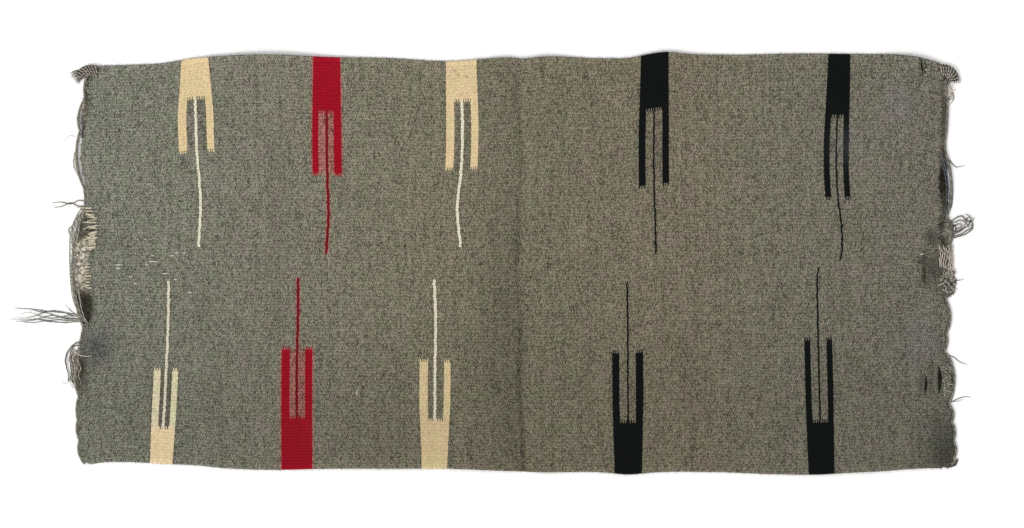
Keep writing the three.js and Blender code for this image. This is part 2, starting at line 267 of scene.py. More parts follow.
def lie(x, y):
    """The height of the web's underside above the floor."""
    swell = sum(
        lift * np.exp(-((x - sx) / along) ** 2 - ((y - sy) / across) ** 2)
        for sx, sy, along, across, lift in SWELLS
    )
    away = np.abs(x - eased(FOLD_LINE, y))
    valley = smoothstep(0, FOLD_SHOULDER, away) * (1 - smoothstep(FOLD_SHOULDER, FOLD_FALL, away))
    return np.maximum(0, swell - SWELL_REST) + FOLD_LIFT * valley


def bar_drift(x, warp):
    """How far the wefts have crept along the warp at a place, from the lean of the bars beside it."""
    drift = []
    for edge, depth in ((0, warp), (1, WARPS - warp)):
        bars = sorted(bar for bar in BARS if bar[1] == edge)
        lines = []
        for *_, prongs, needle, _, _, lean in bars:
            lines.append(eased(list(zip((0, prongs, (prongs + needle) / 2, needle), lean)), depth))
        lines, at = np.array(lines), np.array([bar[0] for bar in bars])
        beside = np.clip(np.searchsorted(at, x) - 1, 0, len(bars) - 2)
        share = smoothstep(0, 1, (x - at[beside]) / (at[beside + 1] - at[beside]))
        pick = np.arange(x.shape[0])[:, None], np.arange(x.shape[1])[None, :]
        drift.append(lines[(beside, *pick)] * (1 - share) + lines[(beside + 1, *pick)] * share)
    upper = smoothstep(WARPS / 2 - 5, WARPS / 2 + 5, warp)
    return drift[1] * upper + drift[0] * (1 - upper)


# The grid of points: a row on each rib and in each furrow, and columns across the warp
row_warp = np.linspace(0, WARPS, WARPS * ROWS_PER_WARP + 1)
column_x, start = [np.array([WEB_CENTRE_X - WEB_LENGTH / 2])], WEB_CENTRE_X - WEB_LENGTH / 2
for stop, spacing in COLUMNS:
    count = max(1, round((stop - start) / spacing))
    column_x.append(np.linspace(start, stop, count + 1)[1:])
    start = stop
column_x = np.concatenate(column_x)
x = np.tile(column_x, (len(row_warp), 1))
warp = np.tile(row_warp[:, None], (1, len(column_x)))
for _ in range(3):
    low = -WEB_WIDTH / 2 - eased(LOWER_SELVAGE, x)
    high = WEB_WIDTH / 2 + eased(UPPER_SELVAGE, x)
    y = low + (high - low) * warp / WARPS
    left_fade = 1 - smoothstep(0, END_REACH, column_x - column_x[0])
    right_fade = smoothstep(-END_REACH, 0, column_x - column_x[-1])
    fold_fade = 1 - smoothstep(20, 110, np.abs(column_x - FOLD_X))
    x = (
        column_x
        - left_fade * web_end_out(LEFT_CORD, LEFT_WORN_END, y)
        + right_fade * web_end_out(RIGHT_CORD, RIGHT_WORN_END, y)
        + fold_fade * (eased(FOLD_LINE, y) - FOLD_X)
    )
woven = np.stack([x - bar_drift(x, warp), warp], axis=-1)

# The wefts at the worn ends stop raggedly
ragged = np.random.default_rng(7).uniform(-WORN_RAG, WORN_RAG, (len(row_warp), 2))
x = x + ragged[:, :1] * left_fade ** 30 * (y > LEFT_WORN_END[0][0])
x = x + ragged[:, 1:] * right_fade ** 30 * (y > RIGHT_WORN_END[0][0])

# Each slit opens between the two copies of the points along one column
opened = np.zeros_like(x)
slit_middles = []
for slit_x, slit_y, wide, long in SLITS:
    column = int(np.argmin(np.abs(column_x - slit_x)))
    across = (y[:, column] - slit_y) / (long / 2)
    opened[:, column] = np.maximum(opened[:, column], wide / 2 * (1 - across ** 2))
    slit_middles.append(float(x[int(np.argmin(np.abs(across))), column]))

underside = lie(x, y)
to_fold = np.abs(x - eased(FOLD_LINE, y))
to_edge = np.minimum(warp, WARPS - warp) / 0.5
rounding = np.sqrt(np.clip(1 - (1 - np.clip(to_edge, 0, 1)) ** 2, 0, 1))
thickness = WEB_THICKNESS - RIB_DEPTH * (np.cos(2 * np.pi * warp) + 1)
thickness = thickness * (EDGE_THICKNESS + (1 - EDGE_THICKNESS) * rounding)
middle = underside + WEB_THICKNESS / 2
crease = CREASE_DEPTH * np.exp(-((to_fold / CREASE_REACH) ** 2))
top = middle + thickness / 2 - crease
bottom = middle - thickness / 2

rows, columns = x.shape
place = np.arange(rows * columns).reshape(rows, columns)
right_of = place.copy()
slit_rows, slit_columns = np.nonzero(opened > 0)
right_of[slit_rows, slit_columns] = rows * columns + np.arange(len(slit_rows))


def with_slits(grid, copies=None):
    """A grid's values for one face of the cloth, then those of the right-hand copies along the slits."""
    copies = grid[slit_rows, slit_columns] if copies is None else copies
    return np.concatenate([grid.reshape(-1, *grid.shape[2:]), copies])


def two_faced(left, right, count, mirrored=False):
    """Faces of a cloth's two layers of points, count apart, and the rims that join them."""
    quads = np.stack([left[:-1, :-1], right[:-1, 1:], right[1:, 1:], left[1:, :-1]], axis=-1).reshape(-1, 4)
    if mirrored:
        quads = quads[:, ::-1]
    known = {tuple(edge) for k in range(4) for edge in quads[:, [k, (k + 1) % 4]].tolist()}
    rims = sorted((b, a, a + count, b + count) for a, b in known if (b, a) not in known)
    return quads.tolist() + (quads[:, ::-1] + count).tolist() + rims


def lay_down(piece):
    """What every piece has in common: it moves with the blanket."""
    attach(piece, "root")
    return piece


points_x = with_slits(x - opened, (x + opened)[slit_rows, slit_columns])
points = np.concatenate([np.column_stack([points_x, with_slits(y), with_slits(z)]) for z in (top, bottom)])
from_fold = with_slits(x - eased(FOLD_LINE, y))
web = new_mesh_object(
    "web_cloth", (points * MM).tolist(), two_faced(right_of, place, len(points) // 2),
    from_fold=np.tile(from_fold, 2),
)
flat = np.tile(with_slits(woven), (2, 1))
corner_point = np.zeros(len(web.data.loops), np.int32)
web.data.loops.foreach_get("vertex_index", corner_point)
web.data.uv_layers.new(name="woven").data.foreach_set("uv", flat[corner_point].astype(np.float32).ravel())

# Heathered wool, weft-faced: the wefts hide the warps and show as short beads side by side on each rib.
# Dark and pale fleece are carded together, so each bead differs a little, and nothing shines. U is
# millimetres along the warp and V counts warps from the lower edge.
BEAD = 4.07
WEFT_TURN = 0.12
TOOTH_LONG = 1.2
CREAM = "#cab58d"
PALE_CREAM = "#dac49e"
GREYED_CREAM = "#cbc3a2"
CREAM_NEEDLE = "#d8d3bd"
RED = "#940c20"
RED_NEEDLE = "#6e0d1c"
BLACK = "#0c100e"
GREY_ALONG = [(-740, "#74756a"), (-330, "#757264"), (-110, "#746f5e"), (10, "#6f6a5a"), (90, "#706b5a"),
              (330, "#726b5b"), (520, "#6e6b5d"), (780, "#6c695e")]
# How much of its light each warp gives back, from the lower edge up: it is darker towards the lower edge
DARKER_BELOW = [(0, 0.8), (28, 0.82), (58, 0.93), (90, 0.98), (138, 1.0)]
GREENISH, LILAC = (0.958, 1.018, 0.962), (1.028, 0.986, 1.034)

NEEDLE_WAVER = 1.3
BAR_TINGE, NEEDLE_TINGE = 5.0, 7.0
BEAD_CONTRAST, FLEECE_CONTRAST, BOBBIN_CONTRAST = 1.3, 0.65, 0.6
DARKEST = 0.12
BAR_INPUTS = ["Along", "Bead", "Depth", "Tooth", "Centre", "Edge Width", "Tip Width", "Left Prong",
              "Right Prong", "Block", "Prongs", "Needle", "Needle Width"]
# Each yarn's dye, its needle's dye, how strongly its fleece varies, and the tinge round it and its share
YARNS = {
    "cream": (CREAM, CREAM_NEEDLE, 0.3, "#4f4536", 0.2),
    "pale cream": (PALE_CREAM, CREAM_NEEDLE, 0.3, "#4f4330", 0.42),
    "red": (RED, RED_NEEDLE, 0.2, "#b03a40", 0.42),
    "black": (BLACK, BLACK, 0.2, "#3c3d3a", 0.12),
}

web_wool, put = new_material("heathered weft-faced wool")
uv = put("ShaderNodeUVMap", uv_map="woven")
along, warps_up = put("ShaderNodeSeparateXYZ", uv).outputs[:2]
rib = put("FLOOR", warps_up)
odd_rib = put("MODULO", rib, 2.0)
stagger = put("MULTIPLY", odd_rib, 0.5)
bead_at = put("ADD", put("DIVIDE", along, BEAD), stagger)
in_bead = put("FRACT", bead_at)
bead_middle = put("MULTIPLY", put("SUBTRACT", put("ADD", put("FLOOR", bead_at), 0.5), stagger), BEAD)
turn = put("MULTIPLY_ADD", put("SUBTRACT", bead_middle, along), WEFT_TURN, along)
pick = put("FLOOR", put("DIVIDE", along, BEAD / 2))
tooth_length = put("ShaderNodeTexWhiteNoise", {"W": pick}, noise_dimensions="1D")
tooth = put("MULTIPLY", put("LESS_THAN", in_bead, 0.5), put("ADD", tooth_length, TOOTH_LONG - 1.0))


def new_tree(name, kind, inputs, outputs):
    """A node tree with named inputs and outputs of given kinds, what adds a node to it, and its inputs."""
    made = bpy.data.node_groups.new(name, kind + "NodeTree")
    for way, sockets in (("INPUT", inputs), ("OUTPUT", outputs)):
        for socket, value in sockets.items():
            made.interface.new_socket(socket, in_out=way, socket_type="NodeSocket" + value)
    return made, partial(add, made), add(made, "NodeGroupInput").outputs


def woven_bar():
    """A group that says where a bar, its prongs and its needle lie, and which wool round them is tinged."""
    masks = ("Bar", "Prong", "Needle", "Tinged")
    made, put, given = new_tree(
        "woven bar", "Shader", dict.fromkeys(BAR_INPUTS, "Float"), dict.fromkeys(masks, "Float"))
    along, bead, depth, tooth, centre, edge_wide, tip_wide, left, right, block, prongs = given[:11]
    needle, needle_wide = given[11:13]
    widened = put("DIVIDE", depth, put("MULTIPLY", block, 1.3), use_clamp=True)
    wide = put("MULTIPLY_ADD", put("SUBTRACT", tip_wide, edge_wide), widened, edge_wide)
    half_wide = put("MULTIPLY", wide, 0.5)
    from_middle = put("SUBTRACT", bead, centre)
    off = put("ABSOLUTE", from_middle)
    on_right = put("GREATER_THAN", from_middle, 0.0)
    prong = put("MULTIPLY_ADD", put("SUBTRACT", right, left), on_right, left)
    woven_depth = put("ADD", put("SUBTRACT", depth, tooth), TOOTH_LONG)
    in_block = put("LESS_THAN", woven_depth, block)
    past_block = put("SUBTRACT", 1.0, in_block)
    beside_gap = put("GREATER_THAN", off, put("SUBTRACT", half_wide, prong))
    in_prong = put("MULTIPLY", beside_gap, put("LESS_THAN", woven_depth, prongs))
    bar = put("MULTIPLY", put("LESS_THAN", off, half_wide), put("MAXIMUM", in_block, in_prong))
    waver = put("SUBTRACT", put("ShaderNodeTexWhiteNoise", {"W": depth}, noise_dimensions="1D"), 0.5)
    needle_along = put("MULTIPLY_ADD", waver, NEEDLE_WAVER, along)
    needle_off = put("ABSOLUTE", put("SUBTRACT", needle_along, centre))
    beyond = put("MULTIPLY", put("LESS_THAN", depth, needle), past_block)
    in_needle = put("MULTIPLY", put("LESS_THAN", needle_off, put("MULTIPLY", needle_wide, 0.5)), beyond)
    # The dye tinges the grey between the prongs, and a little on each side of a bar and a needle
    outside = put("DIVIDE", put("SUBTRACT", off, half_wide), BAR_TINGE, use_clamp=True)
    short_of_tips = put("MULTIPLY", put("SUBTRACT", prongs, depth), 0.4, use_clamp=True)
    beside_bar = put("MULTIPLY", put("SUBTRACT", 1.0, outside), short_of_tips)
    beside_needle = put("SUBTRACT", 1.0, put("DIVIDE", needle_off, NEEDLE_TINGE, use_clamp=True))
    tinged = put("MAXIMUM", beside_bar, put("MULTIPLY", beside_needle, beyond))
    put("NodeGroupOutput", bar, put("MULTIPLY", bar, past_block), in_needle, tinged)
    return made


def graded(put, share, stops):
    """A colour that runs through stops, each a share and an sRGB hex value or a level of grey."""
    ramp = put("ShaderNodeValToRGB", share)
    while len(ramp.color_ramp.elements) < len(stops):
        ramp.color_ramp.elements.new(0.5)
    for stop, (at, colour) in zip(ramp.color_ramp.elements, stops):
        stop.position = at
        stop.color = linear(colour) if isinstance(colour, str) else (colour, colour, colour, 1)
    return ramp


# Salt and pepper: each bead its own shade, finer fleece in it, and slow drifts from bobbin to bobbin
fleck_along = put("FLOOR", put("MULTIPLY", bead_at, 3.0))
fleck = put("ShaderNodeCombineXYZ", fleck_along, put("FLOOR", put("MULTIPLY", warps_up, 2.0)))
bead_shade = put("ShaderNodeTexWhiteNoise", {"Vector": fleck}, noise_dimensions="2D")
fleece, bobbin = [
    put("ShaderNodeTexNoise", {
        "Vector": put("ShaderNodeVectorMath", uv, scale, operation="MULTIPLY"), "Scale": 1.0,
        "Detail": detail, "Roughness": roughness}, noise_dimensions="2D")
    for scale, detail, roughness in (((0.75, 0.9, 0.0), 2.0, 0.7), ((0.11, 0.045, 0.0), 4.0, 0.62))
]
shade = 1.0
for noise, contrast in ((bead_shade, BEAD_CONTRAST), (fleece, FLEECE_CONTRAST), (bobbin, BOBBIN_CONTRAST)):
    shade = put("MULTIPLY_ADD", put("SUBTRACT", noise, 0.5), contrast, shade)
shade = put("MAXIMUM", shade, DARKEST)


def laid_over(under, share, hex_colour, contrast):
    """A colour over another by a share, with the fleece's lights and darks in it more or less strongly."""
    own_shade = put("MULTIPLY_ADD", put("SUBTRACT", shade, 1.0), contrast, 1.0)
    dye = put("ShaderNodeVectorMath", {0: linear(hex_colour)[:3], "Scale": own_shade}, operation="SCALE")
    return put("ShaderNodeMix", {0: share, 6: under, 7: dye}, data_type="RGBA").outputs[2]


first, last = GREY_ALONG[0][0], GREY_ALONG[-1][0]
grey_at = put("DIVIDE", put("SUBTRACT", along, first), last - first)
grey = graded(put, grey_at, [((at - first) / (last - first), tone) for at, tone in GREY_ALONG])
colour = put("ShaderNodeVectorMath", {0: grey, "Scale": shade}, operation="SCALE")
bar_group = woven_bar()
found = {name: dict.fromkeys(("Bar", "Needle", "Tinged"), 0.0) for name in YARNS}
depth_from = (rib, put("SUBTRACT", WARPS - 1.0, rib))
for bar_x, edge, *chart, yarn, _ in BARS:
    bar = put("ShaderNodeGroup", along, turn, depth_from[edge], tooth, bar_x, *chart, node_tree=bar_group)
    for mask, others in found[yarn].items():
        found[yarn][mask] = put("MAXIMUM", bar.outputs[mask], others)
    if yarn == "pale cream":
        greyed_prongs = bar.outputs["Prong"]
for name, (dye, needle_dye, contrast, tinge, strength) in YARNS.items():
    colour = laid_over(colour, put("MULTIPLY", found[name]["Tinged"], strength), tinge, 1.0)
    colour = laid_over(colour, found[name]["Bar"], dye, contrast)
    colour = laid_over(colour, found[name]["Needle"], needle_dye, contrast)
colour = laid_over(colour, greyed_prongs, GREYED_CREAM, 0.4)

# Soft spots of dirt, wear, tint and painted shade: x, y, reach along, reach across, strength, colour
SPOTS = [
    # A soft blue-grey darker patch low at the left end; then, to the end of the next line, painted shade in a
    # hollow at the left tuft
    (-677, -144, 26, 28, 0.7, "#414347"), (-702, -178, 8, 22, 0.85, "#2c261d"),
    (-699, -200, 10, 30, 0.45, "#3a352c"),
    (774, -325, 34, 42, 0.92, "#43433b"), (770, -280, 24, 32, 0.5, "#4a4a41"),
    # Painted shade in dimples and hollows near the right end and in the pocket beside the right bundle, then
    # a painted shadow along the web's edge inside the right cord
    (751, 46, 12, 12, 0.8, "#393734"),
    (739, -17, 3.2, 22, 0.9, "#1b1b14"), (754, -10, 16, 27, 0.68, "#34332b"), (739, 8, 9, 6, 0.6, "#2a2922"),
    (769, 150, 6, 26, 0.5, "#33322e"), (770, 120, 5, 26, 0.6, "#2c2b28"), (772, 245, 3, 34, 0.5, "#2b2a25"),
    # Painted shade on the slopes of three ripples, then on the fold's left slope; after it, pale lilac tints
    # and two darker spots at the left worn end
    (-368, 57, 15, 170, 0.16, "#4b493f"), (-474, -265, 20, 60, 0.14, "#4b493f"),
    (339, -190, 26, 130, 0.12, "#4b473b"),
    (10, -160, 42, 190, 0.2, "#4a473b"), (731, -130, 30, 44, 0.22, "#77737c"),
    (700, 276, 30, 38, 0.22, "#77737c"),
    (620, 200, 36, 30, 0.14, "#77737c"), (-690, 60, 9, 40, 0.35, "#3f3b31"),
    (-686, -75, 8, 22, 0.75, "#29251d"),
    # Painted shade beside the first two slits, then a painted shadow along the web's right end beside its
    # cord
    (733, -204, 4, 20, 0.5, "#2c2b27"), (751, -196, 5, 28, 0.5, "#2c2b27"),
    (789, -200, 2.4, 24, 0.75, "#262520"),
    (-120, 330, 90, 30, 0.1, "#8a8674"), (771, -200, 12, 26, 0.4, "#474b40"),
    # Painted shade in the third slit
    (739.5, 330, 3, 11, 0.75, "#1f1d18"),
    # A broad darker patch low in the middle, and small brown marks by a cream bar
    (-200, -285, 100, 60, 0.2, "#504d43"), (-64, 328.6, 3, 1.5, 0.6, "#5a4a38"),
    (-57, 323, 3, 1.6, 0.6, "#5a4a38"),
    (-44, 319, 3, 1.6, 0.6, "#5a4a38"),
]
SPOT_CONTRAST = 0.55
RUFFLE_SCALE, RUFFLE_REACH = 95.0, 0.012
HUE_SCALE, HUE_LEAST, HUE_MOST = 34.0, 0.38, 0.62
# How many warps at each selvage get painted light, and how much
SELVAGE_WARPS, SELVAGE_PAINTED_LIGHT = 1.6, 0.1
RIB_ROUND, BEAD_ROUND = 0.6, 0.45
# Painted shade in the pits between beads, less on cream, and painted light on the beads' tops
PIT_SHADE, CREAM_PIT_SHADE, BEAD_TOP_PAINTED_LIGHT = 0.46, 0.22, 1.14
WOOL_ROUGHNESS, SHEEN_ROUGHNESS = 0.95, 0.6
# The light that the crease sends back: how far right of the fold, its reach, the light lost or won at the
# lower edge, and how much more there is at the upper. It is dark in its valley and light on its shoulder.
FOLD_TONES = [(-1.0, 4.5, -0.3, 0.16), (-10.0, 26.0, -0.11, 0.08), (14.0, 7.0, 0.0, 0.1)]


def soft_spot():
    """A group that gives a spot's share at a place: its strength in the middle, and softly less outwards."""
    made, put, given = new_tree("soft spot", "Shader", {
        "Place": "Vector", "Centre": "Vector", "Reach": "Vector", "Strength": "Float"}, {"Share": "Float"})
    off = put("ShaderNodeVectorMath", given[0], given[1], operation="SUBTRACT")
    off = put("ShaderNodeVectorMath", off, given[2], operation="DIVIDE")
    far = put("ShaderNodeVectorMath", off, off, operation="DOT_PRODUCT").outputs["Value"]
    put("NodeGroupOutput", put("MULTIPLY", put("POWER", math.exp(-1), far), given[3]))
    return made


spot_group = soft_spot()
place_on_web = put("ShaderNodeTexCoord").outputs["Object"]
flat_place = put("ShaderNodeVectorMath", place_on_web, (1.0, 1.0, 0.0), operation="MULTIPLY")
ruffle = put("ShaderNodeTexNoise", {"Vector": flat_place, "Scale": RUFFLE_SCALE, "Detail": 2.0})
ruffle = put("ShaderNodeVectorMath", ruffle.outputs["Color"], (0.5, 0.5, 0.5), operation="SUBTRACT")
spot_place = put("ShaderNodeVectorMath", ruffle, (RUFFLE_REACH, RUFFLE_REACH, 0.0), flat_place,
                 operation="MULTIPLY_ADD")
for spot_x, spot_y, reach_along, reach_across, strength, soil_and_shade in SPOTS:
    middle_of, reach = (spot_x * MM, spot_y * MM, 0), (reach_along * MM, reach_across * MM, 1)
    spot = put("ShaderNodeGroup", spot_place, middle_of, reach, strength, node_tree=spot_group)
    colour = laid_over(colour, spot, soil_and_shade, SPOT_CONTRAST)

from_fold_at = put("ShaderNodeAttribute", attribute_name="from_fold").outputs["Fac"]
up_share = put("DIVIDE", warps_up, WARPS, use_clamp=True)
tone = 1.0
for fold_centre, reach, below, more in FOLD_TONES:
    off = put("DIVIDE", put("SUBTRACT", from_fold_at, fold_centre), reach)
    bell = put("POWER", math.exp(-1), put("MULTIPLY", off, off))
    tone = put("MULTIPLY_ADD", bell, put("MULTIPLY_ADD", up_share, more, below), tone)

# Painted light and shade: the rounded selvages are painted a little lighter, the furrows between ribs and the
# pits between beads are painted darker, and the beads' tops a little lighter
to_selvage = put("MINIMUM", warps_up, put("SUBTRACT", float(WARPS), warps_up))
painted_selvage_light = put("MULTIPLY_ADD", put("LESS_THAN", to_selvage, SELVAGE_WARPS), SELVAGE_PAINTED_LIGHT, 1.0)
rib_round = put("SINE", put("MULTIPLY", put("FRACT", warps_up), math.pi))
bead_round = put("SINE", put("MULTIPLY", in_bead, math.pi))
weave_height = put("MULTIPLY", put("POWER", rib_round, RIB_ROUND), put("POWER", bead_round, BEAD_ROUND))
cream_share = put("MAXIMUM", found["cream"]["Bar"], found["pale cream"]["Bar"])
pit_shade_depth = put("MULTIPLY_ADD", cream_share, CREAM_PIT_SHADE - PIT_SHADE, PIT_SHADE)
pits = put("MULTIPLY_ADD", put("SUBTRACT", weave_height, 1.0), pit_shade_depth, BEAD_TOP_PAINTED_LIGHT)
tone = put("MULTIPLY", put("MULTIPLY", tone, painted_selvage_light), pits)
hue_noise = put("ShaderNodeTexNoise", {"Vector": flat_place, "Scale": HUE_SCALE, "Detail": 3.0})
hue_share = put("ShaderNodeMapRange", hue_noise, HUE_LEAST, HUE_MOST)
hue = put("ShaderNodeMix", {0: hue_share, 6: (*GREENISH, 1), 7: (*LILAC, 1)}, data_type="RGBA").outputs[2]
# The web's colour grows darker towards its lower edge
darker_below = graded(put, up_share, [(at / WARPS, share) for at, share in DARKER_BELOW])
for tint in (darker_below, hue):
    colour = put("ShaderNodeVectorMath", colour, tint, operation="MULTIPLY")
colour = put("ShaderNodeVectorMath", {0: colour, "Scale": tone}, operation="SCALE")


def finish_wool(put, colour, height, strength, depth, gleam=0.06, sheen=0.0):
    """Wool scatters what falls on it: rough, hardly any gleam, a faint sheen, and its fibres in relief."""
    relief = put("ShaderNodeBump", {"Height": height, "Strength": strength, "Distance": depth})
    put("ShaderNodeOutputMaterial", put("ShaderNodeBsdfPrincipled", {
        "Base Color": colour, "Roughness": WOOL_ROUGHNESS, "Specular IOR Level": gleam,
        "Sheen Weight": sheen, "Sheen Roughness": SHEEN_ROUGHNESS, "Normal": relief}))


finish_wool(put, colour, put("MULTIPLY_ADD", fleece, 0.5, weave_height), 0.6, 0.0007, sheen=0.02)
web.data.materials.append(web_wool)
lay_down(web)
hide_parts("woven_web")


# Matted wool
# Where the wefts have parted or worn away, loose fleece has felted into thin mats, dark or pale: under the
# three slits, in the gaps between the worn ends and their cords, and under tangled yarns and corners. The
# near-black mats under the slits are dark fleece and painted shade of the slits' depth.
MAT_ROWS = 1.5
MAT_COLUMNS = 14
FLOOR_CLEARANCE = 0.05
MAT_TUCK = 6.0
SLIT_LINING = 5
FIBRE_SCALE, TUFT_SCALE = 480.0, 150.0
MAT_TONES = [(0.0, "#1c1a14"), (0.25, "#434036"), (0.5, "#77746a"), (0.75, "#aba493"), (1.0, "#ded7c8")]


fleece_mat, put = new_material("matted fleece")
place_on_mat = put("ShaderNodeTexCoord").outputs["Object"]
own_tone = put("ShaderNodeAttribute", attribute_name="tone").outputs["Fac"]
fibres = put("ShaderNodeTexNoise", {
    "Vector": place_on_mat, "Scale": FIBRE_SCALE, "Detail": 4.0, "Roughness": 0.75, "Distortion": 1.5})
tufts = put("ShaderNodeTexNoise", {"Vector": place_on_mat, "Scale": TUFT_SCALE, "Detail": 2.0})
fibre_tone = put("MULTIPLY_ADD", tufts, 0.7, put("SUBTRACT", fibres, 0.85))
fleece_tone = graded(put, put("MULTIPLY_ADD", fibre_tone, 0.8, own_tone), MAT_TONES)
finish_wool(put, fleece_tone, fibres, 0.8, 0.0008, gleam=0.05)
mat_places = []


def mat(name, x, y, top, bottom, tone):
    """A mat of fleece from grids in mm: its places, its upper and lower height, and its tone."""
    place = np.arange(x.size).reshape(x.shape)
    mirrored = (x[0, -1] - x[0, 0]) * (y[-1, 0] - y[0, 0]) < 0
    points = np.concatenate([np.stack([x, y, z], axis=-1).reshape(-1, 3) for z in (top, bottom)]) * MM
    made = new_mesh_object(
        name, points.tolist(), two_faced(place, place, x.size, mirrored), tone=np.tile(tone.ravel(), 2))
    made.data.materials.append(fleece_mat)
    lay_down(made)
    mat_places.append(np.column_stack([x.ravel(), y.ravel(), top.ravel(), tone.ravel()]))


def lumps(shape, seed, reach=2):
    """Soft random lumps from 0 to 1 over a grid."""
    rough = np.random.default_rng(seed).random((shape[0] + 2 * reach, shape[1] + 2 * reach))
    shifts = range(2 * reach + 1)
    soft = sum(rough[i:i + shape[0], j:j + shape[1]] for i in shifts for j in shifts)
    low, high = soft.min(), soft.max()
    return (soft - low) / (high - low)


def end_mat(name, side, ties, worn, rows, seed):
    """A mat in the gap between a worn end and its cord; rows are y, share of the gap, height and tone."""
    table = np.array(rows, float)
    y = np.arange(table[0, 0], table[-1, 0], MAT_ROWS)
    share, height, tone = (eased(table[:, [0, k]], y)[:, None] for k in (1, 2, 3))
    inner = web_end_out(ties, worn, y)[:, None] - MAT_TUCK
    gap = np.maximum(cord_out(ties, y)[:, None] - inner, MAT_TUCK) * share
    across = np.linspace(0, 1, MAT_COLUMNS)[None, :]
    lump = lumps((len(y), MAT_COLUMNS), seed)
    out = inner + (gap + 2.5 * (lump[:, -1:] - 0.5)) * across
    x = WEB_CENTRE_X + side * (WEB_LENGTH / 2 + out)
    y = np.tile(y[:, None], (1, MAT_COLUMNS))
    crown = np.sin(np.pi * np.clip(0.12 + 0.86 * across, 0, 1)) ** 0.5
    top = 0.25 + height * crown * (0.55 + 0.75 * lump)
    tone = tone + 0.18 * (lumps(x.shape, seed + 1, 1) - 0.5)
    mat(name, x, y, top, np.full_like(x, FLOOR_CLEARANCE), tone)


def oval_mat(name, centre_x, centre_y, wide, long, low, high, tone, seed):
    """An oval mat, crowned from low to high."""
    angle, ring = np.meshgrid(np.linspace(0, np.pi, 22), np.linspace(-1, 1, 9), indexing="ij")
    ragged = 0.7 + 0.55 * lumps(angle.shape, seed + 20)
    half_wide = wide / 2 * np.sin(angle) * ragged + 0.02
    x = centre_x + half_wide * ring
    y = centre_y - long / 2 * np.cos(angle)
    crown = np.sqrt(np.clip(1 - ring ** 2, 0, 1)) * np.sqrt(np.sin(angle).clip(0.001))
    top = low + 0.1 + (high - low - 0.1) * crown * (0.7 + 0.3 * lumps(x.shape, seed))
    mat(name, x, y, top, np.full_like(x, low), np.full_like(x, tone))


LEFT_MAT_LOW = [
    (-104, 0.8, 1.5, 0.14), (-88, 0.86, 2.0, 0.1), (-70, 0.9, 2.0, 0.12), (-54, 0.92, 2.0, 0.2),
    (-44, 0.93, 2.2, 0.6),
    (-20, 0.94, 2.4, 0.82), (5, 0.94, 2.6, 0.86), (25, 0.94, 2.8, 0.92), (36, 0.92, 2.6, 0.75),
    (44, 0.9, 2.2, 0.42),
    (60, 0.92, 2.0, 0.34), (78, 0.92, 2.0, 0.36), (90, 0.95, 2.2, 0.55), (100, 0.95, 2.2, 0.6),
]
LEFT_MAT_HIGH = [
    (215, 0.7, 2.2, 0.3), (236, 0.75, 2.4, 0.4), (250, 0.75, 2.4, 0.6), (268, 0.8, 2.5, 0.62),
    (285, 0.85, 2.6, 0.42),
    (300, 0.9, 2.8, 0.36), (320, 0.9, 3.0, 0.3),
]
RIGHT_MAT = [
    (-60, 0.7, 2.5, 0.3), (-45, 0.8, 2.8, 0.36), (-30, 0.85, 2.8, 0.3), (-15, 0.85, 2.0, 0.22),
    (5, 0.85, 1.8, 0.2),
    (24, 0.85, 2.0, 0.24), (34, 0.9, 3.0, 0.36), (60, 0.95, 3.4, 0.4), (84, 0.95, 3.2, 0.4),
    (98, 0.85, 2.6, 0.3),
    # From y 125 to 160 the mat is near black: painted shade in the pocket beside the right bundle
    (125, 0.8, 2.2, 0.06), (160, 0.8, 2.2, 0.06), (178, 0.85, 2.8, 0.34), (200, 0.85, 2.6, 0.46),
    (225, 0.85, 2.4, 0.46),
    (270, 0.85, 2.4, 0.46), (285, 0.95, 2.8, 0.5), (300, 0.9, 2.8, 0.55), (314, 0.9, 3.0, 0.4),
]
# Ovals of fleece: name, middle x, y, wide, long, height, tone, seed
OVAL_MATS = [
    ("corner_mat", 780, -341, 32, 17, 3.4, 0.3, 48), ("left_tuft_mat", -707, -183, 24, 62, 2.4, 0.46, 49),
    ("right_tangle_mat", 776, 54, 32, 52, 3.8, 0.5, 50), ("right_curl_mat", 780, -32, 30, 50, 3.2, 0.42, 52),
    ("upper_left_corner_mat", -684, 318, 20, 24, 3.0, 0.28, 53),
    ("upper_right_corner_mat", 773, 316, 22, 24, 3.0, 0.28, 54),
    ("right_puff_mat", 777, 295, 20, 26, 3.6, 1.0, 55),
]
end_mat("left_mat_low", -1, LEFT_CORD, LEFT_WORN_END, LEFT_MAT_LOW, 41)
end_mat("left_mat_high", -1, LEFT_CORD, LEFT_WORN_END, LEFT_MAT_HIGH, 42)
end_mat("right_mat", 1, RIGHT_CORD, RIGHT_WORN_END, RIGHT_MAT, 43)
# Near-black mats under the slits: dark fleece, and painted shade of the slits' depth
for number, (_, slit_y, wide, long) in enumerate(SLITS):
    below = slit_y - long / 2 - SLIT_LINING
    above = min(slit_y + long / 2, WEB_WIDTH / 2 - 2 * SLIT_LINING) + SLIT_LINING
    slit_middle = slit_middles[number], (below + above) / 2
    low = float(lie(*np.array(slit_middle)))
    oval_mat(f"slit_shade_mat_{number + 1}", *slit_middle, wide + 9, above - below, low + 0.3, low + 1.5, 0.0,
             44 + number)
for name, *size, high, tone, seed in OVAL_MATS:
    oval_mat(name, *size, FLOOR_CLEARANCE, high, tone, seed)


# The end cords
# A three-ply wool cord twined along each end, tied to the web at every bight, so the web's end is
# scalloped between the ties. It is bound tight below, and has come away from the worn ends above.
CORD_THICKNESS = 4.6
CORD_TWIST = 13.0
YARN_STEP = 1.6
FINE_STEP = 1.0
# Where along a loose yarn it begins to taper
TAPER_FROM = 0.55
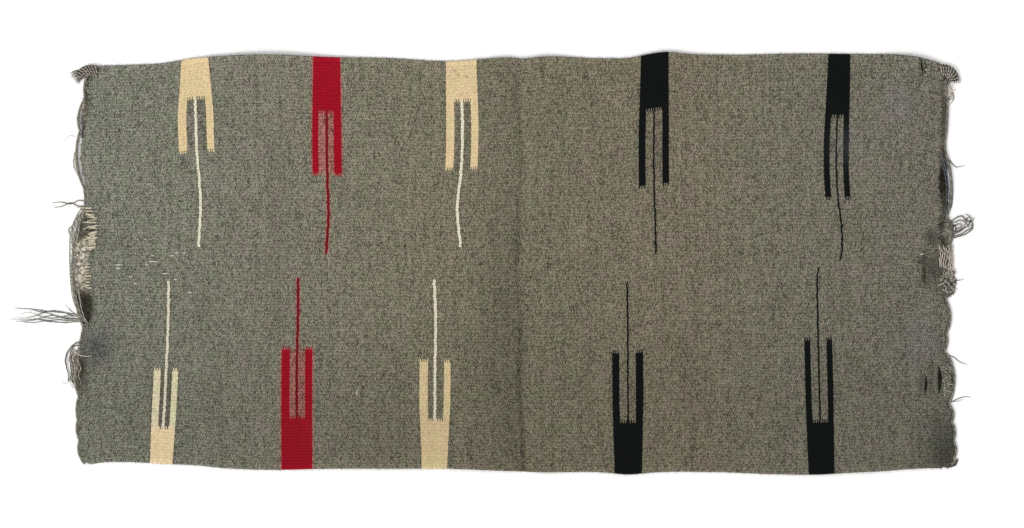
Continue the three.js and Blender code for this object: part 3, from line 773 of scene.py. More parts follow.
# Flecks are about 1.6 mm long and patches about 11 mm; plies, one by one, differ by a share of the colours
FLECK_SCALE, PATCH_SCALE = 620.0, 90.0
# The second value is the share of light that the painted shade leaves in the grooves between plies
PLY_APART, GROOVE_PAINTED_SHADE = 0.55, 0.3
YARN_GREYS = ("#4b4a44", "#8f8d82")
YARN_BLUES = ("#464a4e", "#8d929a")
YARN_BROWNS = ("#51483a", "#9a8c76")
CORD_GREYS = ("#4d4c45", "#9b988a")
BUNDLE_GREYS = ("#403f3a", "#dcd9cb")
WARP_CREAMS = ("#c9bd9c", "#fff8e4")
RAW_PINKS = ("#a89d90", "#fff6ea")


def support(x, y):
    """The height of what lies under a yarn at a place: the web's upper face, or the floor."""
    left = WEB_CENTRE_X - WEB_LENGTH / 2 - web_end_out(LEFT_CORD, LEFT_WORN_END, y)
    right = WEB_CENTRE_X + WEB_LENGTH / 2 + web_end_out(RIGHT_CORD, RIGHT_WORN_END, y)
    low = -WEB_WIDTH / 2 - eased(LOWER_SELVAGE, x)
    high = WEB_WIDTH / 2 + eased(UPPER_SELVAGE, x)
    on_web = (x > left) & (x < right) & (y > low) & (y < high)
    return np.where(on_web, lie(x, y) + WEB_THICKNESS, 0.0)


def smooth_way(stops, spacing):
    """A smooth line through stops of x, y and anything else, with points a spacing apart."""
    stops = np.array(stops, float)
    length = np.concatenate([[0], np.cumsum(np.hypot(*np.diff(stops[:, :2], axis=0).T))])
    at = np.linspace(0, length[-1], max(3, round(length[-1] / spacing) + 1))
    return np.stack([eased(np.stack([length, column], axis=1), at) for column in stops.T], axis=1)


def laid_way(stops, thickness, lift=0.0, tip=1.0, spacing=3.0):
    """A yarn's points, x, y, z and radius, laid on what is under it; tip is its last radius's share."""
    way = smooth_way(stops, spacing)
    under = support(way[:, 0], way[:, 1])
    reach = 3
    padded = np.pad(under, reach, mode="edge")
    eased_under = sum(padded[k:k + len(under)] for k in range(2 * reach + 1)) / (2 * reach + 1)
    height = np.maximum(under, eased_under) + thickness / 2 + lift
    share = np.linspace(0, 1, len(way))
    radius = thickness / 2 * (1 - (1 - tip) * smoothstep(TAPER_FROM, 1, share))
    return np.column_stack([way, height, radius])


def realised(put, mesh, wool):
    """The end of a geometry tree: its instances made real, and their material."""
    mesh = put("GeometryNodeRealizeInstances", mesh)
    put("NodeGroupOutput", put("GeometryNodeSetMaterial", {"Geometry": mesh, "Material": wool}))


def plied_yarn_tree():
    """Geometry nodes that lay plies round each curve: the curve's radius is the whole yarn's."""
    made, put, given = new_tree("plied yarn", "Geometry", {
        "Geometry": "Geometry", "Plies": "Int", "Ply Share": "Float", "Twist Length": "Float",
        "Step": "Float", "Sides": "Int", "Waver": "Float", "Wave Scale": "Float", "Fray": "Float",
        "Seed": "Int", "Wool": "Material"}, {"Geometry": "Geometry"})

    def stray(size, amount, seed):
        """A soft random shift that changes along the yarn, and is less up and down."""
        noise = put("ShaderNodeTexNoise", {
            "Vector": put("GeometryNodeInputPosition"), "W": seed, "Scale": size, "Detail": 1.5},
            noise_dimensions="4D")
        even = put("ShaderNodeVectorMath", noise.outputs["Color"], (0.5, 0.5, 0.5), operation="SUBTRACT")
        flatter = put("ShaderNodeVectorMath", even, (1.0, 1.0, 0.4), operation="MULTIPLY")
        return put("ShaderNodeVectorMath", {0: flatter, "Scale": amount}, operation="SCALE")

    curve = put("GeometryNodeResampleCurve", {"Curve": given["Geometry"], "Length": given["Step"]},
                mode="LENGTH")
    curve = put("GeometryNodeSetPosition", {
        "Geometry": curve, "Offset": stray(given["Wave Scale"], given["Waver"], given["Seed"])})
    strand = put("FunctionNodeRandomValue", {"Seed": given["Seed"]}, data_type="FLOAT").outputs[1]
    curve = put("GeometryNodeStoreNamedAttribute", {"Geometry": curve, "Name": "strand", "Value": strand},
                data_type="FLOAT", domain="CURVE")
    plies = put("GeometryNodeDuplicateElements", {"Geometry": curve, "Amount": given["Plies"]},
                domain="SPLINE")
    number = plies.outputs["Duplicate Index"]
    curve = put("GeometryNodeSetCurveNormal", {"Curve": plies}, mode="Z_UP")
    along = put("GeometryNodeSplineParameter").outputs["Length"]
    turns = put("ADD", put("DIVIDE", along, given["Twist Length"]), put("DIVIDE", number, given["Plies"]))
    angle = put("MULTIPLY", turns, 2 * math.pi)
    radius = put("GeometryNodeInputRadius")
    off = put("MULTIPLY", radius, put("SUBTRACT", 1.0, given["Ply Share"]))
    aside, rise = [
        put("ShaderNodeVectorMath", {0: way, "Scale": put("MULTIPLY", off, put(share, angle))},
            operation="SCALE")
        for way, share in ((put("GeometryNodeInputNormal"), "COSINE"), ((0.0, 0.0, 1.0), "SINE"))
    ]
    outwards = put("ShaderNodeVectorMath", aside, rise, operation="ADD")
    ply_seed = put("ADD", put("MULTIPLY", number, 7.3), given["Seed"])
    frayed = stray(put("MULTIPLY", given["Wave Scale"], 1.7), given["Fray"], ply_seed)
    facing = put("ShaderNodeVectorMath", outwards, operation="NORMALIZE")
    for name, value, kind, domain in (("outwards", facing, "FLOAT_VECTOR", "POINT"),
                                      ("ply", put("MODULO", number, 2.0), "FLOAT", "CURVE")):
        curve = put("GeometryNodeStoreNamedAttribute", {"Geometry": curve, "Name": name, "Value": value},
                    data_type=kind, domain=domain)
    offset = put("ShaderNodeVectorMath", outwards, frayed, operation="ADD")
    curve = put("GeometryNodeSetPosition", {"Geometry": curve, "Offset": offset})
    thickness = put("MULTIPLY", radius, given["Ply Share"])
    placed = put("ShaderNodeSeparateXYZ", put("GeometryNodeInputPosition")).outputs
    above_floor = put("ShaderNodeCombineXYZ", placed[0], placed[1], put("MAXIMUM", placed[2], thickness))
    curve = put("GeometryNodeSetPosition", {"Geometry": curve, "Position": above_floor})
    profile = put("GeometryNodeCurvePrimitiveCircle", {"Resolution": given["Sides"], "Radius": 1.0},
                  mode="RADIUS")
    mesh = put("GeometryNodeCurveToMesh", {
        "Curve": curve, "Profile Curve": profile, "Fill Caps": True, "Scale": thickness})
    realised(put, put("GeometryNodeSetShadeSmooth", mesh), given["Wool"])
    return made


plied_yarn = plied_yarn_tree()


def made_by(tree, source, name, values):
    """The plain mesh that a geometry tree makes of an object, with the tree's named inputs set."""
    modifier = source.modifiers.new("made", "NODES")
    modifier.node_group = tree
    for item in tree.interface.items_tree:
        if item.in_out == "INPUT" and item.name in values:
            modifier[item.identifier] = values[item.name]
    evaluated = source.evaluated_get(bpy.context.evaluated_depsgraph_get())
    mesh = bpy.data.meshes.new_from_object(evaluated)
    bpy.data.objects.remove(source)
    made = bpy.data.objects.new(name, mesh)
    bpy.context.scene.collection.objects.link(made)
    return lay_down(made)


def plied_yarns(name, ways, wool, twist, waver, fray, wave, seed, plies=2, sides=6, step=YARN_STEP):
    """Twisted yarns along ways of x, y, z and radius, as one mesh.

    Twist is the length of a turn, and waver and fray are how far the yarns and their plies stray over the
    length of a wave, all in mm.
    """
    curve = bpy.data.curves.new(name, "CURVE")
    curve.dimensions = "3D"
    for way in ways:
        spline = curve.splines.new("POLY")
        spline.points.add(len(way) - 1)
        spline.points.foreach_set("co", np.column_stack([way[:, :3] * MM, np.ones(len(way))]).ravel())
        spline.points.foreach_set("radius", way[:, 3] * MM)
    source = bpy.data.objects.new(name, curve)
    bpy.context.scene.collection.objects.link(source)
    across = math.sin(math.pi / plies)
    return made_by(plied_yarn, source, name, {
        "Plies": plies, "Ply Share": across / (1 + across), "Twist Length": twist * MM, "Step": step * MM,
        "Sides": sides, "Waver": waver * MM, "Wave Scale": 1 / (wave * MM), "Fray": fray * MM, "Seed": seed,
        "Wool": wool,
    })


def plied_wool(name, colours, contrast=1.0, between=0.35):
    """Handspun wool: dark and pale fleece along the yarn, each strand a little apart from the next."""
    wool, put = new_material(name)
    place = put("ShaderNodeTexCoord").outputs["Object"]
    strand, ply = [put("ShaderNodeAttribute", attribute_name=of).outputs["Fac"] for of in ("strand", "ply")]
    flecks = put("ShaderNodeTexNoise", {
        "Vector": place, "Scale": FLECK_SCALE, "Detail": 3.0, "Roughness": 0.7})
    patches = put("ShaderNodeTexNoise", {"Vector": place, "Scale": PATCH_SCALE, "Detail": 2.0})
    mix = put("MULTIPLY_ADD", flecks, 1.5 * contrast, 0.2 - 0.75 * contrast)
    for value, share in ((patches, 0.6), (strand, between), (ply, PLY_APART)):
        mix = put("MULTIPLY_ADD", value, share, mix)
    mix = put("SUBTRACT", mix, 0.22 + between / 2, use_clamp=True)
    colour = put("ShaderNodeMix", {0: mix, 6: linear(colours[0]), 7: linear(colours[1])}, data_type="RGBA")
    # Painted shade in the grooves between the plies: the sides that face the yarn's middle are painted darker
    normal = put("ShaderNodeNewGeometry").outputs["Normal"]
    outwards = put("ShaderNodeAttribute", attribute_name="outwards").outputs["Vector"]
    facing = put("ShaderNodeVectorMath", normal, outwards, operation="DOT_PRODUCT").outputs["Value"]
    painted_groove_shade = put("ShaderNodeMapRange", facing, -0.35, 0.75, GROOVE_PAINTED_SHADE, 1.0)
    colour = put("ShaderNodeVectorMath", {0: colour.outputs[2], "Scale": painted_groove_shade}, operation="SCALE")
    finish_wool(put, colour, flecks, 0.5, 0.0004, sheen=0.05)
    return wool


grey_wool = plied_wool("plied grey wool", YARN_GREYS)
blue_wool = plied_wool("plied blue-grey wool", YARN_BLUES)
brown_wool = plied_wool("frayed brown-grey wool", YARN_BROWNS)
cord_wool = plied_wool("twined cord wool", CORD_GREYS, 1.1, 0.5)
bundle_wool = plied_wool("slack light and dark plies", BUNDLE_GREYS, 1.1, 0.8)
warp_wool = plied_wool("bare cream warp wool", WARP_CREAMS)
pink_wool = plied_wool("bare raw wool, pinkish", RAW_PINKS)

for name, node, ties, side, seed in (
    ("left_cord", "left_end_cord", LEFT_CORD, -1, 3), ("right_cord", "right_end_cord", RIGHT_CORD, 1, 4)
):
    cord_y = np.arange(ties[0][0], ties[-1][0] + 1.5, 3.0)
    cord_x = WEB_CENTRE_X + side * (WEB_LENGTH / 2 + cord_out(ties, cord_y))
    cord_z = CORD_THICKNESS / 2 + lie(cord_x, cord_y)
    way = np.column_stack([cord_x, cord_y, cord_z, np.full(len(cord_y), CORD_THICKNESS / 2)])
    cord = plied_yarns(name, [way], cord_wool, CORD_TWIST, 0.8, 0.4, 26, seed, plies=3, sides=8)
    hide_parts(node)


# The yarns at the left end
# What has come away from the worn cord: a slack bundle of plies beside the bare warp ends, a long fringe,
# a looped tuft and single hairs. They lie on the floor, and some on the web. Stops are x, y in mm.
LEFT_PLIES = [
    (2.8, 0.5, [(-699, 96), (-708, 76), (-712, 54), (-714.5, 21), (-716, -11), (-714, -44), (-709, -70),
                (-704, -86), (-697, -98), (-690, -107)]),
    (2.6, 1.6, [(-700, 92), (-714, 70), (-718, 48), (-717.5, 21), (-720, -11), (-716, -46), (-712, -74),
                (-704, -86), (-697, -95), (-690, -103)]),
    (2.8, 0.8, [(-698, 90), (-704, 72), (-708, 50), (-712.5, 22), (-709.5, -12), (-708, -42), (-704, -68),
                (-701, -82), (-697, -92), (-689, -103)]),
    (2.2, 0.2, [(-701, 98), (-713, 78), (-721, 54), (-722.5, 24), (-722.5, -8), (-720, -40), (-716, -66),
                (-706, -84)]),
    (1.6, 2.2, [(-702, 88), (-709, 66), (-717, 36), (-713, 4), (-718.5, -30), (-712, -58), (-704, -82)]),
    (2.6, 0.6, [(-704, 226), (-708, 205), (-712, 175), (-709, 158), (-700, 143)]),
    (2.0, 0.9, [(-706, 212), (-714, 186), (-716, 172), (-708, 149), (-697, 131)]),
    (1.8, 1.6, [(-696, 284), (-703, 266), (-709.5, 250), (-707.5, 232), (-702, 218)]),
]
LEFT_FRINGE = [
    (1.9, 0.0, [(-700, -90), (-716, -86.5), (-748, -83), (-780, -79), (-805, -76.5), (-817, -75.4)]),
    (1.7, 1.0, [(-702, -92), (-718, -89), (-735, -83), (-752, -81), (-771, -83), (-790, -78), (-811, -77)]),
    (1.9, 0.4, [(-702, -96), (-722, -98), (-742, -96.5), (-760, -98), (-779, -95), (-800, -97), (-822, -96)]),
    (1.7, 1.2, [(-703, -94), (-726, -95), (-746, -90), (-764, -84), (-782, -90), (-800, -94), (-820, -92.5)]),
    (1.8, 0.2, [(-704, -99), (-724, -101), (-748, -100), (-768, -99), (-790, -101), (-808, -99)]),
    (1.6, 1.5, [(-703, -91), (-730, -90), (-752, -94), (-772, -91), (-790, -84), (-806, -86)]),
    (1.5, 0.8, [(-701, -95), (-728, -93), (-756, -89), (-776, -95), (-796, -99), (-816, -99.5)]),
    (1.4, 0.5, [(-706, -89), (-716, -85), (-724, -78), (-730, -70.5)]),
]
LEFT_STRAYS = [
    (2.0, 0.2, [(-694, 106), (-707, 108), (-721, 102), (-736, 105), (-752, 103.5)]),
    (2.0, 0.9, [(-695, 98), (-708, 98), (-721, 104), (-735, 98), (-749, 95.5)]),
    (1.8, 0.6, [(-711, 66), (-719, 64), (-724.5, 58), (-723, 51), (-717, 46)]),
    (0.6, 0.2, [(-713, 217), (-722, 219), (-729, 213), (-733, 205)]),
    (0.6, 0.2, [(-722, -202), (-731, -205), (-739, -200)]),
    (0.6, 0.2, [(-712, 326), (-718, 322), (-721, 316)]),
]
LEFT_FRAYED = [
    (1.7, 0.4 * (k % 4), [(-703 - 1.3 * k, -146 - 3 * (k % 3)), (-707 - 1.5 * k, -160 - 3 * (k % 2)),
                          (-702 - 1.6 * k, -178), (-705 - 1.5 * k, -192 - 4 * (k % 3)),
                          (-700 - 1.5 * k, -206 - 3 * (k % 4))])
    for k in range(12)
]
LEFT_LOOP = [
    (2.9, 1.0, [(-703, -135), (-712, -136), (-719, -141), (-726, -150), (-729.5, -163), (-728, -178),
                (-724, -191), (-726, -202)]),
    (2.4, 0.4, [(-705, -140), (-716, -142), (-722, -154), (-722.5, -168), (-719, -184), (-716, -194)]),
    (1.9, 0.6, [(-722, -196), (-717, -204), (-710, -207), (-706, -216), (-699, -219)]),
]
LEFT_WHITE = [(2.2, 1.6, [(-720, -147), (-712, -152), (-704, -157), (-694, -158.5), (-684, -158)])]
# The warp ends that lie bare between the worn end and the bundle: from y, to y, how long, how far their
# tips sag, and the share of them that show
LEFT_BARE = [(24, 82, 17, 8, 0.9), (27, 84, 13, 5, 0.85), (84, 97, 22, 2, 1.0), (-42, 8, 7, 2.5, 0.9)]
# Wefts that have broken out of the cord at the upper left
LEFT_PUFF = [
    (2.2, 1.0 + 0.5 * (k % 3), [(-694 - k % 2, 283 - 5 * k), (-699, 279 - 5 * k),
                                (-697 - k % 3, 272 - 4.6 * k)])
    for k in range(6)
]


def yarn_ways(rows, tip=0.7):
    """The ways of a table of yarns."""
    return [laid_way(stops, thickness, lift, tip) for thickness, lift, stops in rows]


def bare_warp_ways(rows, side, ties, worn, seed):
    """Warp ends at each rib, that lie out from the web's worn end."""
    random = np.random.default_rng(seed)
    ways = []
    for low, high, long, sag_most, share in rows:
        for y in np.arange(low, high, WEB_WIDTH / WARPS):
            if random.random() > share:
                continue
            end = WEB_CENTRE_X + side * (WEB_LENGTH / 2 + web_end_out(ties, worn, np.array([y]))[0])
            reach = long * random.uniform(0.45, 1.15)
            sag = random.uniform(-sag_most, sag_most)
            stops = [(end - side * random.uniform(3, 8), y), (end + side * reach * 0.5, y + sag * 0.4),
                     (end + side * reach, y + sag)]
            ways.append(laid_way(stops, random.uniform(2.0, 3.4), random.uniform(1.0, 2.6), 0.6, 2.0))
    return ways


def lay_yarns(table):
    """The pieces of a table of yarns: name, ways, wool, twist, waver, fray, wave and seed."""
    for row in table:
        plied_yarns(*row)


bare_warps = bare_warp_ways(LEFT_BARE, -1, LEFT_CORD, LEFT_WORN_END, 5)
lay_yarns([
    ("left_slack_plies", yarn_ways(LEFT_PLIES, 0.6), bundle_wool, 12, 3.2, 1.2, 26, 11),
    ("left_fringe", yarn_ways(LEFT_FRINGE, 0.35), grey_wool, 8, 3.4, 1.6, 18, 12),
    ("left_strays", yarn_ways(LEFT_STRAYS, 0.5), grey_wool, 8, 1.2, 0.5, 26, 13),
    ("left_frayed_tuft_1", yarn_ways(LEFT_FRAYED[::3], 0.35), brown_wool, 7, 8, 4, 12, 14),
    ("left_frayed_tuft_2", yarn_ways(LEFT_FRAYED[1::3], 0.35), pink_wool, 7, 8, 4, 12, 15),
    ("left_frayed_tuft_3", yarn_ways(LEFT_FRAYED[2::3], 0.35), grey_wool, 7, 8, 4, 12, 16),
    ("left_tuft_loop", yarn_ways(LEFT_LOOP), grey_wool, 7, 4, 1.4, 13, 19),
    ("left_white_thread", yarn_ways(LEFT_WHITE), pink_wool, 6, 1.5, 0, 26, 17),
    ("left_bare_warps", bare_warps, warp_wool, 6, 1.6, 0.6, 14, 18),
    ("left_puff", yarn_ways(LEFT_PUFF, 0.5), warp_wool, 6, 5, 2.5, 10, 33),
])


# The yarns at the right end
# The same wear at the other end: a blue-grey bundle beside its own pocket, a tuft of loops, a stretch of
# raw plies with their wrapping gone, frayed curls below it, and single threads. Stops are x, y in mm.
RIGHT_PLIES = [
    (2.5, 0.6, [(772, 186), (778, 172), (783, 152), (784.5, 132), (785, 112), (784, 96), (777, 80)]),
    (2.5, 1.5, [(770, 182), (775, 166), (779, 148), (781, 130), (782, 112), (780, 96), (774, 82)]),
    (2.2, 0.9, [(769, 176), (773, 160), (776, 144), (778, 126), (778, 110), (776, 96), (771, 84)]),
    (2.0, 0.3, [(774, 184), (782, 168), (786.5, 150), (788, 130), (788, 112), (786, 98), (780, 84)]),
]
RIGHT_LOOPS = [
    (2.5, 0.6, [(776, 67), (786, 73), (797, 79), (804, 81.5), (809, 77), (813, 72), (819, 72.5), (823, 68),
                (821, 62), (813, 56.5), (802, 50), (790, 46.5), (779, 46)]),
    (2.3, 1.4, [(778, 60), (786, 62), (795, 66.5), (801, 67.5), (803.5, 64.5), (800, 61), (794, 59)]),
    (2.5, 1.0, [(778, 52), (789, 49), (797, 53), (804, 57.5), (812, 63.5), (818, 69), (820.5, 75), (817, 80),
                (813, 76), (811, 70)]),
    (2.5, 0.2, [(778, 43.5), (788, 43.5), (797, 45.5), (804, 48), (812, 51), (818, 55.5), (822.5, 61),
    (820, 66.5)]),
    (2.2, 2.0, [(776, 71), (784, 71), (792, 70), (799, 73.5), (806, 73), (812, 67.5), (816, 61)]),
    (2.0, 1.8, [(777, 56), (785, 57), (793, 54), (800, 57.5), (806, 62.5), (810, 69), (807, 74)]),
    (1.9, 2.4, [(818, 79), (814, 83), (809, 84)]), (1.8, 2.2, [(821, 72), (824, 75), (823, 79)]),
]
RIGHT_STRAYS = [
    (1.8, 0.4, [(777, 188), (782, 178), (787.5, 171), (794, 165), (801, 166), (808, 168)]),
    (1.6, 0.4, [(772, 301), (780, 298), (787, 293), (790.5, 284), (787, 276), (782, 271)]),
    (1.7, 0.4, [(782, -27), (790, -27), (798, -29), (807, -26.5)]),
    (1.5, 0.8, [(784, -22), (790, -18), (794, -12)]),
    (1.5, 0.3, [(781, -157), (790, -160), (798, -167), (806, -171), (815, -173)]),
    (1.7, 0.3, [(778, -241), (788, -236), (799, -231), (808, -228), (820, -229)]),
    (0.9, 0.9, [(781, -238), (792, -236), (800, -235), (806, -232)]),
]
RIGHT_CURLS = [
    (1.9, 0.6 + 0.5 * (k % 4), [(764 + 3.5 * (k % 4), -12 - 3.1 * k), (772 + 3 * (k % 3), -9 - 3.0 * k),
                                (782 - 3 * (k % 2), -15 - 3.1 * k), (790 + 2 * (k % 3), -11 - 2.9 * k),
                                (786 + 3 * (k % 2), -17 - 2.8 * k)])
    for k in range(14)
]
RIGHT_RAW = [
    (2.3, 1.0 + 0.7 * (k % 3), [(764 + 3.9 * k, 31 - 4 * (k % 2)), (767.5 + 3.6 * k, 14 + 2 * (k % 2)),
                                (765 + 3.9 * k, 0), (770 + 3.4 * k, -14 - 5 * (k % 3))])
    for k in range(7)
]
RIGHT_CORNER = [
    (2.4, 0.3 * k, [(776, -348 + 2.4 * k), (784, -346 + 2.2 * k), (791, -342 + 2.0 * k),
                    (798, -337 + 2.2 * k)])
    for k in range(3)
]
# Dark yarns laid as painted shade in the hollows between the tangle and the plies, and the light ends of yarn
# among the curls
RIGHT_HOLLOW_SHADE = [
    (3.4, 2.6, [(763, 45), (768, 39), (775, 31)]), (2.8, 2.6, [(790, 66), (793, 60), (791, 52)]),
    (2.6, 2.4, [(767, -4), (772, -10), (775, -18)]), (2.8, 2.2, [(776, -28), (783, -32), (788, -38)]),
    (2.4, 2.6, [(766, 66), (772, 70), (779, 69)]),
]
RIGHT_LIGHT = [
    (1.8, 2.6 + 0.4 * (k % 3), [(765 + 7.3 * k % 24, -4 - 2.4 * k), (768 + 7.3 * k % 24, -3.2 - 2.4 * k),
                                (769.5 + 7.3 * k % 24, -6 - 2.4 * k)])
    for k in range(18)
]
# A puff of pale fleece that has worked out beside the cord
RIGHT_PUFF = [
    (1.9, 0.6 * (k % 4), [(772 + k % 3, 300 - 1.4 * k), (780 + k % 2, 298 - 1.0 * k),
    (789 - k % 4, 292 - 1.1 * k),
                          (788 - 0.9 * k, 282 - 0.6 * k), (779, 279 - 0.5 * k)])
    for k in range(9)
]

# Near-black wool that stands for the painted shade in the hollows
hollow_shade_wool = plied_wool("dark wool, painted shade in the hollows", ("#1b1913", "#3c382e"), 0.6)
lay_yarns([
    ("right_slack_plies", yarn_ways(RIGHT_PLIES, 1.0), blue_wool, 9, 2.0, 0.7, 26, 21),
    ("right_loops", yarn_ways(RIGHT_LOOPS, 0.8), grey_wool, 8, 3.4, 1.6, 15, 22),
    ("right_strays", yarn_ways(RIGHT_STRAYS, 0.4), grey_wool, 7, 1.4, 0.6, 26, 23),
    ("right_curls_1", yarn_ways(RIGHT_CURLS[::3], 0.5), bundle_wool, 7, 12, 5, 9, 27),
    ("right_curls_2", yarn_ways(RIGHT_CURLS[1::3], 0.5), grey_wool, 7, 12, 5, 9, 28),
    ("right_curls_3", yarn_ways(RIGHT_CURLS[2::3], 0.5), pink_wool, 7, 12, 5, 9, 29),
    ("right_raw_plies", yarn_ways(RIGHT_RAW, 0.8), pink_wool, 9, 7, 2, 11, 25),
    ("right_hollow_shade", yarn_ways(RIGHT_HOLLOW_SHADE), hollow_shade_wool, 7, 4, 2, 10, 24),
    ("right_puff", yarn_ways(RIGHT_PUFF, 0.5), pink_wool, 7, 6, 3, 12, 30),
    ("right_corner_yarns", yarn_ways(RIGHT_CORNER, 0.5), grey_wool, 7, 1.5, 1, 26, 26),
])
plied_yarns("right_light_ends", yarn_ways(RIGHT_LIGHT), pink_wool, 5, 5, 2, 7, 29, step=FINE_STEP)


# The corner tassels
# At each upper corner the ends of the selvage cords and of the end cord are twisted together into a short
# fat rope of dark and pale yarns and tied. It has frayed at its tip, and its yarns lie open there.
tassel_wools = (
    plied_wool("tied cord ends, dark wool", ("#26231f", "#5f5850")),
    plied_wool("tied cord ends, pale wool", ("#7b746b", "#d8cfc4")),
)
STRAND_RADIUS, CORE_RADIUS = 1.7, 2.4
OPEN_YARN, OPEN_TIP, OPEN_LAYER = 1.8, 0.35, 1.1
# Name, width, height, strands, turns, the rope's way, and its open end's way, count of yarns and width
TASSELS = [
    ("upper_left_tassel", 20.5, 8.4, 8, 1.9,
     [(-674, 330), (-683, 330.5), (-692, 329), (-700, 325.5), (-707, 320.5)],
     [(-700, 326.5), (-708, 322), (-716, 316)], 13, 24),
    ("upper_right_tassel", 21.5, 8.4, 8, 2.0,
     [(765, 333), (774, 331), (783, 326.5), (788, 320), (787, 312.5)],
     [(785, 325), (789, 316), (787, 307)], 14, 29),
]


def rope(stops, wide, high, strands, turns):
    """The ways of the strands of a rope that is laid flat on the floor, and of the core that they hide."""
    middle = smooth_way(stops, 1.2)
    heading = np.gradient(middle, axis=0)
    heading /= np.hypot(*heading.T)[:, None]
    sideways = np.stack([-heading[:, 1], heading[:, 0]], axis=1)
    share = np.linspace(0, 1, len(middle))
    swell = 0.74 + 0.26 * np.sin(np.pi * np.clip(0.15 + share * 0.75, 0, 1))
    radius = STRAND_RADIUS * swell
    ways = []
    for k in range(strands):
        angle = 2 * np.pi * (turns * share + k / strands)
        off = (wide / 2 * swell - radius) * np.cos(angle)
        height = high / 2 + (high / 2 - radius) * np.sin(angle) * swell
        ways.append(np.column_stack([middle + sideways * off[:, None], height, radius]))
    core_height = np.full(len(middle), high / 2 - 0.6)
    core = [
        np.column_stack([middle + sideways * (aside * swell)[:, None], core_height, CORE_RADIUS * swell])
        for aside in (-0.24 * wide, 0.0, 0.24 * wide)
    ]
    return ways, core


for name, wide, high, strands, turns, way, tuft, count, fan_wide in TASSELS:
    strand_ways, core = rope(way, wide, high, strands, turns)
    dark, pale = tassel_wools
    head = plied_yarns(name + "_rope", strand_ways[::2] + core, dark, 6, 2.2, 1.4, 9, 31, step=FINE_STEP)
    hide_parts(name)
    plied_yarns(name + "_pale_plies", strand_ways[1::2], pale, 6, 2.2, 1.4, 9, 31, step=FINE_STEP)
    across = np.array([tuft[0][1] - tuft[-1][1], tuft[-1][0] - tuft[0][0]], float)
    across *= fan_wide / np.hypot(*across)
    yarns = []
    for k in range(count):
        share = k / (count - 1) - 0.5
        fan = [np.array(stop) + across * share * spread for stop, spread in zip(tuft, (0.5, 0.75, 1.0))]
        yarns.append(laid_way(fan, OPEN_YARN, 0.3 + OPEN_LAYER * (k % 4), OPEN_TIP, 2.0))
    for k, wool in enumerate(tassel_wools):
        plied_yarns(f"{name}_ends_{k + 1}", yarns[k::2], wool, 6, 5, 2.5, 11, 34 + k, step=FINE_STEP)


# The nicks
# Here and there a weft has worn through, and a short length of cream warp shows in the rib.
# Each is x, y, its length in mm, and whether it lies along the warp or across it.
NICKS = [
    (-538.7, 18, 7, 1), (-546.3, 13.3, 6, 1), (-526, 18, 5, 1), (-579.7, 13.3, 6, 1), (-578.8, 3.4, 13, 1),
    (-590.8, -1.7, 5, 1), (-637.8, -2.6, 12, 1), (-638.7, -8.5, 7, 1), (-617.3, -23, 5, 1),
    (-609.6, -34.2, 4, 1),
    (-557.5, -17.1, 12, 1), (-541.2, -27.4, 5, 1), (-516.4, -49.6, 6, 1), (-592.5, 41, 3, 1),
    (734.8, 15.6, 6, 1), (-231, -220, 8, 0), (742, 331, 3, 1), (742, 322, 3, 1),
]
# The worn patch beside the second slit is speckled with them: from x, to x, from y, to y, how many
WORN_PATCH = (772, 788, -228, -176, 58)
random = np.random.default_rng(52)
from_x, to_x, from_y, to_y, count = WORN_PATCH
worn = [
    (random.uniform(from_x, to_x), random.uniform(from_y, to_y), random.uniform(1.5, 3), 1)
    for _ in range(count)
]


def nick_way(nick_x, nick_y, long, along_warp, thickness):
    """The way of a short length of warp in its rib."""
    reach_x, reach_y = (long / 2, 0.15) if along_warp else (0.5, long / 2)
    stops = [(nick_x - reach_x, nick_y - reach_y), (nick_x, nick_y + 0.3),
             (nick_x + reach_x, nick_y + reach_y)]
    return laid_way(stops, thickness, 0.4 - thickness / 2, 0.6, 1.5)


nick_wool = plied_wool("bare warp in the nicks", ("#c9c2ae", "#f6f2e6"), 0.5)
worn_wool = plied_wool("worn warp in the patch", ("#a5a292", "#e6e3d4"), 0.8)
for name, rows, thickness, wool in (
    ("bare_warp_nicks", NICKS, 2.5, nick_wool), ("worn_patch", worn, 2.1, worn_wool)
):
    ways = [nick_way(*row, thickness) for row in rows]
    plied_yarns(name, ways, wool, 5, 0.5, 0.2, 9, 51, step=FINE_STEP)


# The fuzz
# Fine loose fibres stand out of the selvages, the worn ends and the mats, as they do on any handspun wool.
# Each is a short curled hair, thicker on the mats, so that it shows in a picture of the whole blanket.
FUZZ_STEP = 1.3
FUZZED_TONE, PALE_TONE = 0.26, 0.48
MAT_FUZZ_SHARE = 0.3


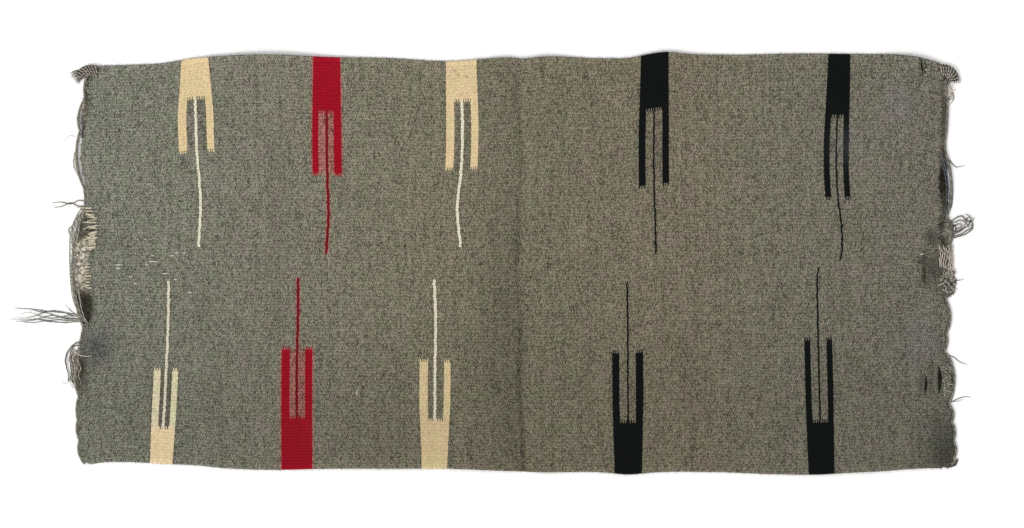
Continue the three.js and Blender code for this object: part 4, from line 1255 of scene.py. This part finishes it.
def fuzz_tree():
    """Geometry nodes that set a curled fibre on each point, turned at random about the way it faces."""
    made, put, given = new_tree("wool fuzz", "Geometry", {
        "Geometry": "Geometry", "Shortest": "Float", "Longest": "Float", "Thickness": "Float",
        "Spread": "Float", "Seed": "Int", "Wool": "Material"}, {"Geometry": "Geometry"})
    fibre = put("GeometryNodeCurveQuadraticBezier", {
        "Resolution": 4, "Start": (0, 0, 0), "Middle": (0.6, 0.35, 0.28), "End": (1.0, -0.1, 0.05)})
    profile = put("GeometryNodeCurvePrimitiveCircle", {"Resolution": 3, "Radius": 1.0}, mode="RADIUS")
    fibre = put("GeometryNodeCurveToMesh", {
        "Curve": fibre, "Profile Curve": profile, "Fill Caps": True, "Scale": given["Thickness"]})
    way = put("GeometryNodeInputNamedAttribute", {"Name": "way"}, data_type="FLOAT")
    turn, size = [
        put("FunctionNodeRandomValue", {2: least, 3: most, "Seed": given["Seed"]},
            data_type="FLOAT").outputs[1]
        for least, most in ((-1.0, 1.0), (given["Shortest"], given["Longest"]))
    ]
    rotation = put("ShaderNodeCombineXYZ", {2: put("MULTIPLY_ADD", turn, given["Spread"], way)})
    placed = put("GeometryNodeInstanceOnPoints", {
        "Points": given["Geometry"], "Instance": fibre, "Rotation": rotation, "Scale": size})
    realised(put, placed, given["Wool"])
    return made


random = np.random.default_rng(61)
end_y = np.arange(-346, 330, FUZZ_STEP)
long_x = np.arange(-670, 770, FUZZ_STEP)
cord_share = cord_out(LEFT_CORD, end_y) * (random.random(len(end_y)) < 0.5)
left_out = np.maximum(web_end_out(LEFT_CORD, LEFT_WORN_END, end_y), cord_share - 30)
right_out = web_end_out(RIGHT_CORD, RIGHT_WORN_END, end_y)
# The edges that fibres stand out of, and the way that they point there
fringe_points = np.concatenate([
    np.column_stack([edge_x, edge_y, np.full(len(edge_x), way)])
    for edge_x, edge_y, way in (
        (WEB_CENTRE_X - WEB_LENGTH / 2 - left_out, end_y, math.pi),
        (WEB_CENTRE_X + WEB_LENGTH / 2 + right_out, end_y, 0.0),
        (long_x, WEB_WIDTH / 2 + eased(UPPER_SELVAGE, long_x) - 0.8, math.pi / 2),
        (long_x, -WEB_WIDTH / 2 - eased(LOWER_SELVAGE, long_x) + 0.8, -math.pi / 2),
    )
])
fringe_points[:, :2] += random.uniform(-0.9, 0.9, (len(fringe_points), 2))
height = lie(fringe_points[:, 0], fringe_points[:, 1]) + random.uniform(1.0, 2.8, len(fringe_points))
on_mats = np.concatenate(mat_places)
on_mats = on_mats[(on_mats[:, 3] > FUZZED_TONE) & (random.random(len(on_mats)) < MAT_FUZZ_SHARE)]
on_mats[:, 2] += 0.7
pale = on_mats[:, 3] > PALE_TONE
edge_places = np.column_stack([fringe_points[:, :2], height])
# Name, places, the way each faces, shortest and longest, thickness as a share, spread, and colours
FUZZ = [
    ("edge_fuzz", edge_places, fringe_points[:, 2], 1.5, 5.5, 0.024, 1.2, ("#6b675d", "#b3aa98")),
    ("dark_mat_fuzz", on_mats[~pale, :3], np.zeros(sum(~pale)), 2.0, 4.5, 0.08, math.pi,
     ("#4f4a42", "#9b9484")),
    ("pale_mat_fuzz", on_mats[pale, :3], np.zeros(sum(pale)), 3.0, 6.5, 0.09, math.pi,
     ("#8b8373", "#d8cfba")),
]
fuzz = fuzz_tree()
for name, places, way, shortest, longest, thickness, spread, colours in FUZZ:
    made_by(fuzz, new_mesh_object(name + "_points", (places * MM).tolist(), way=way), name, {
        "Shortest": shortest * MM, "Longest": longest * MM, "Thickness": thickness, "Spread": spread,
        "Seed": 62, "Wool": plied_wool("loose fibres, " + name.replace("_", " "), colours),
    })
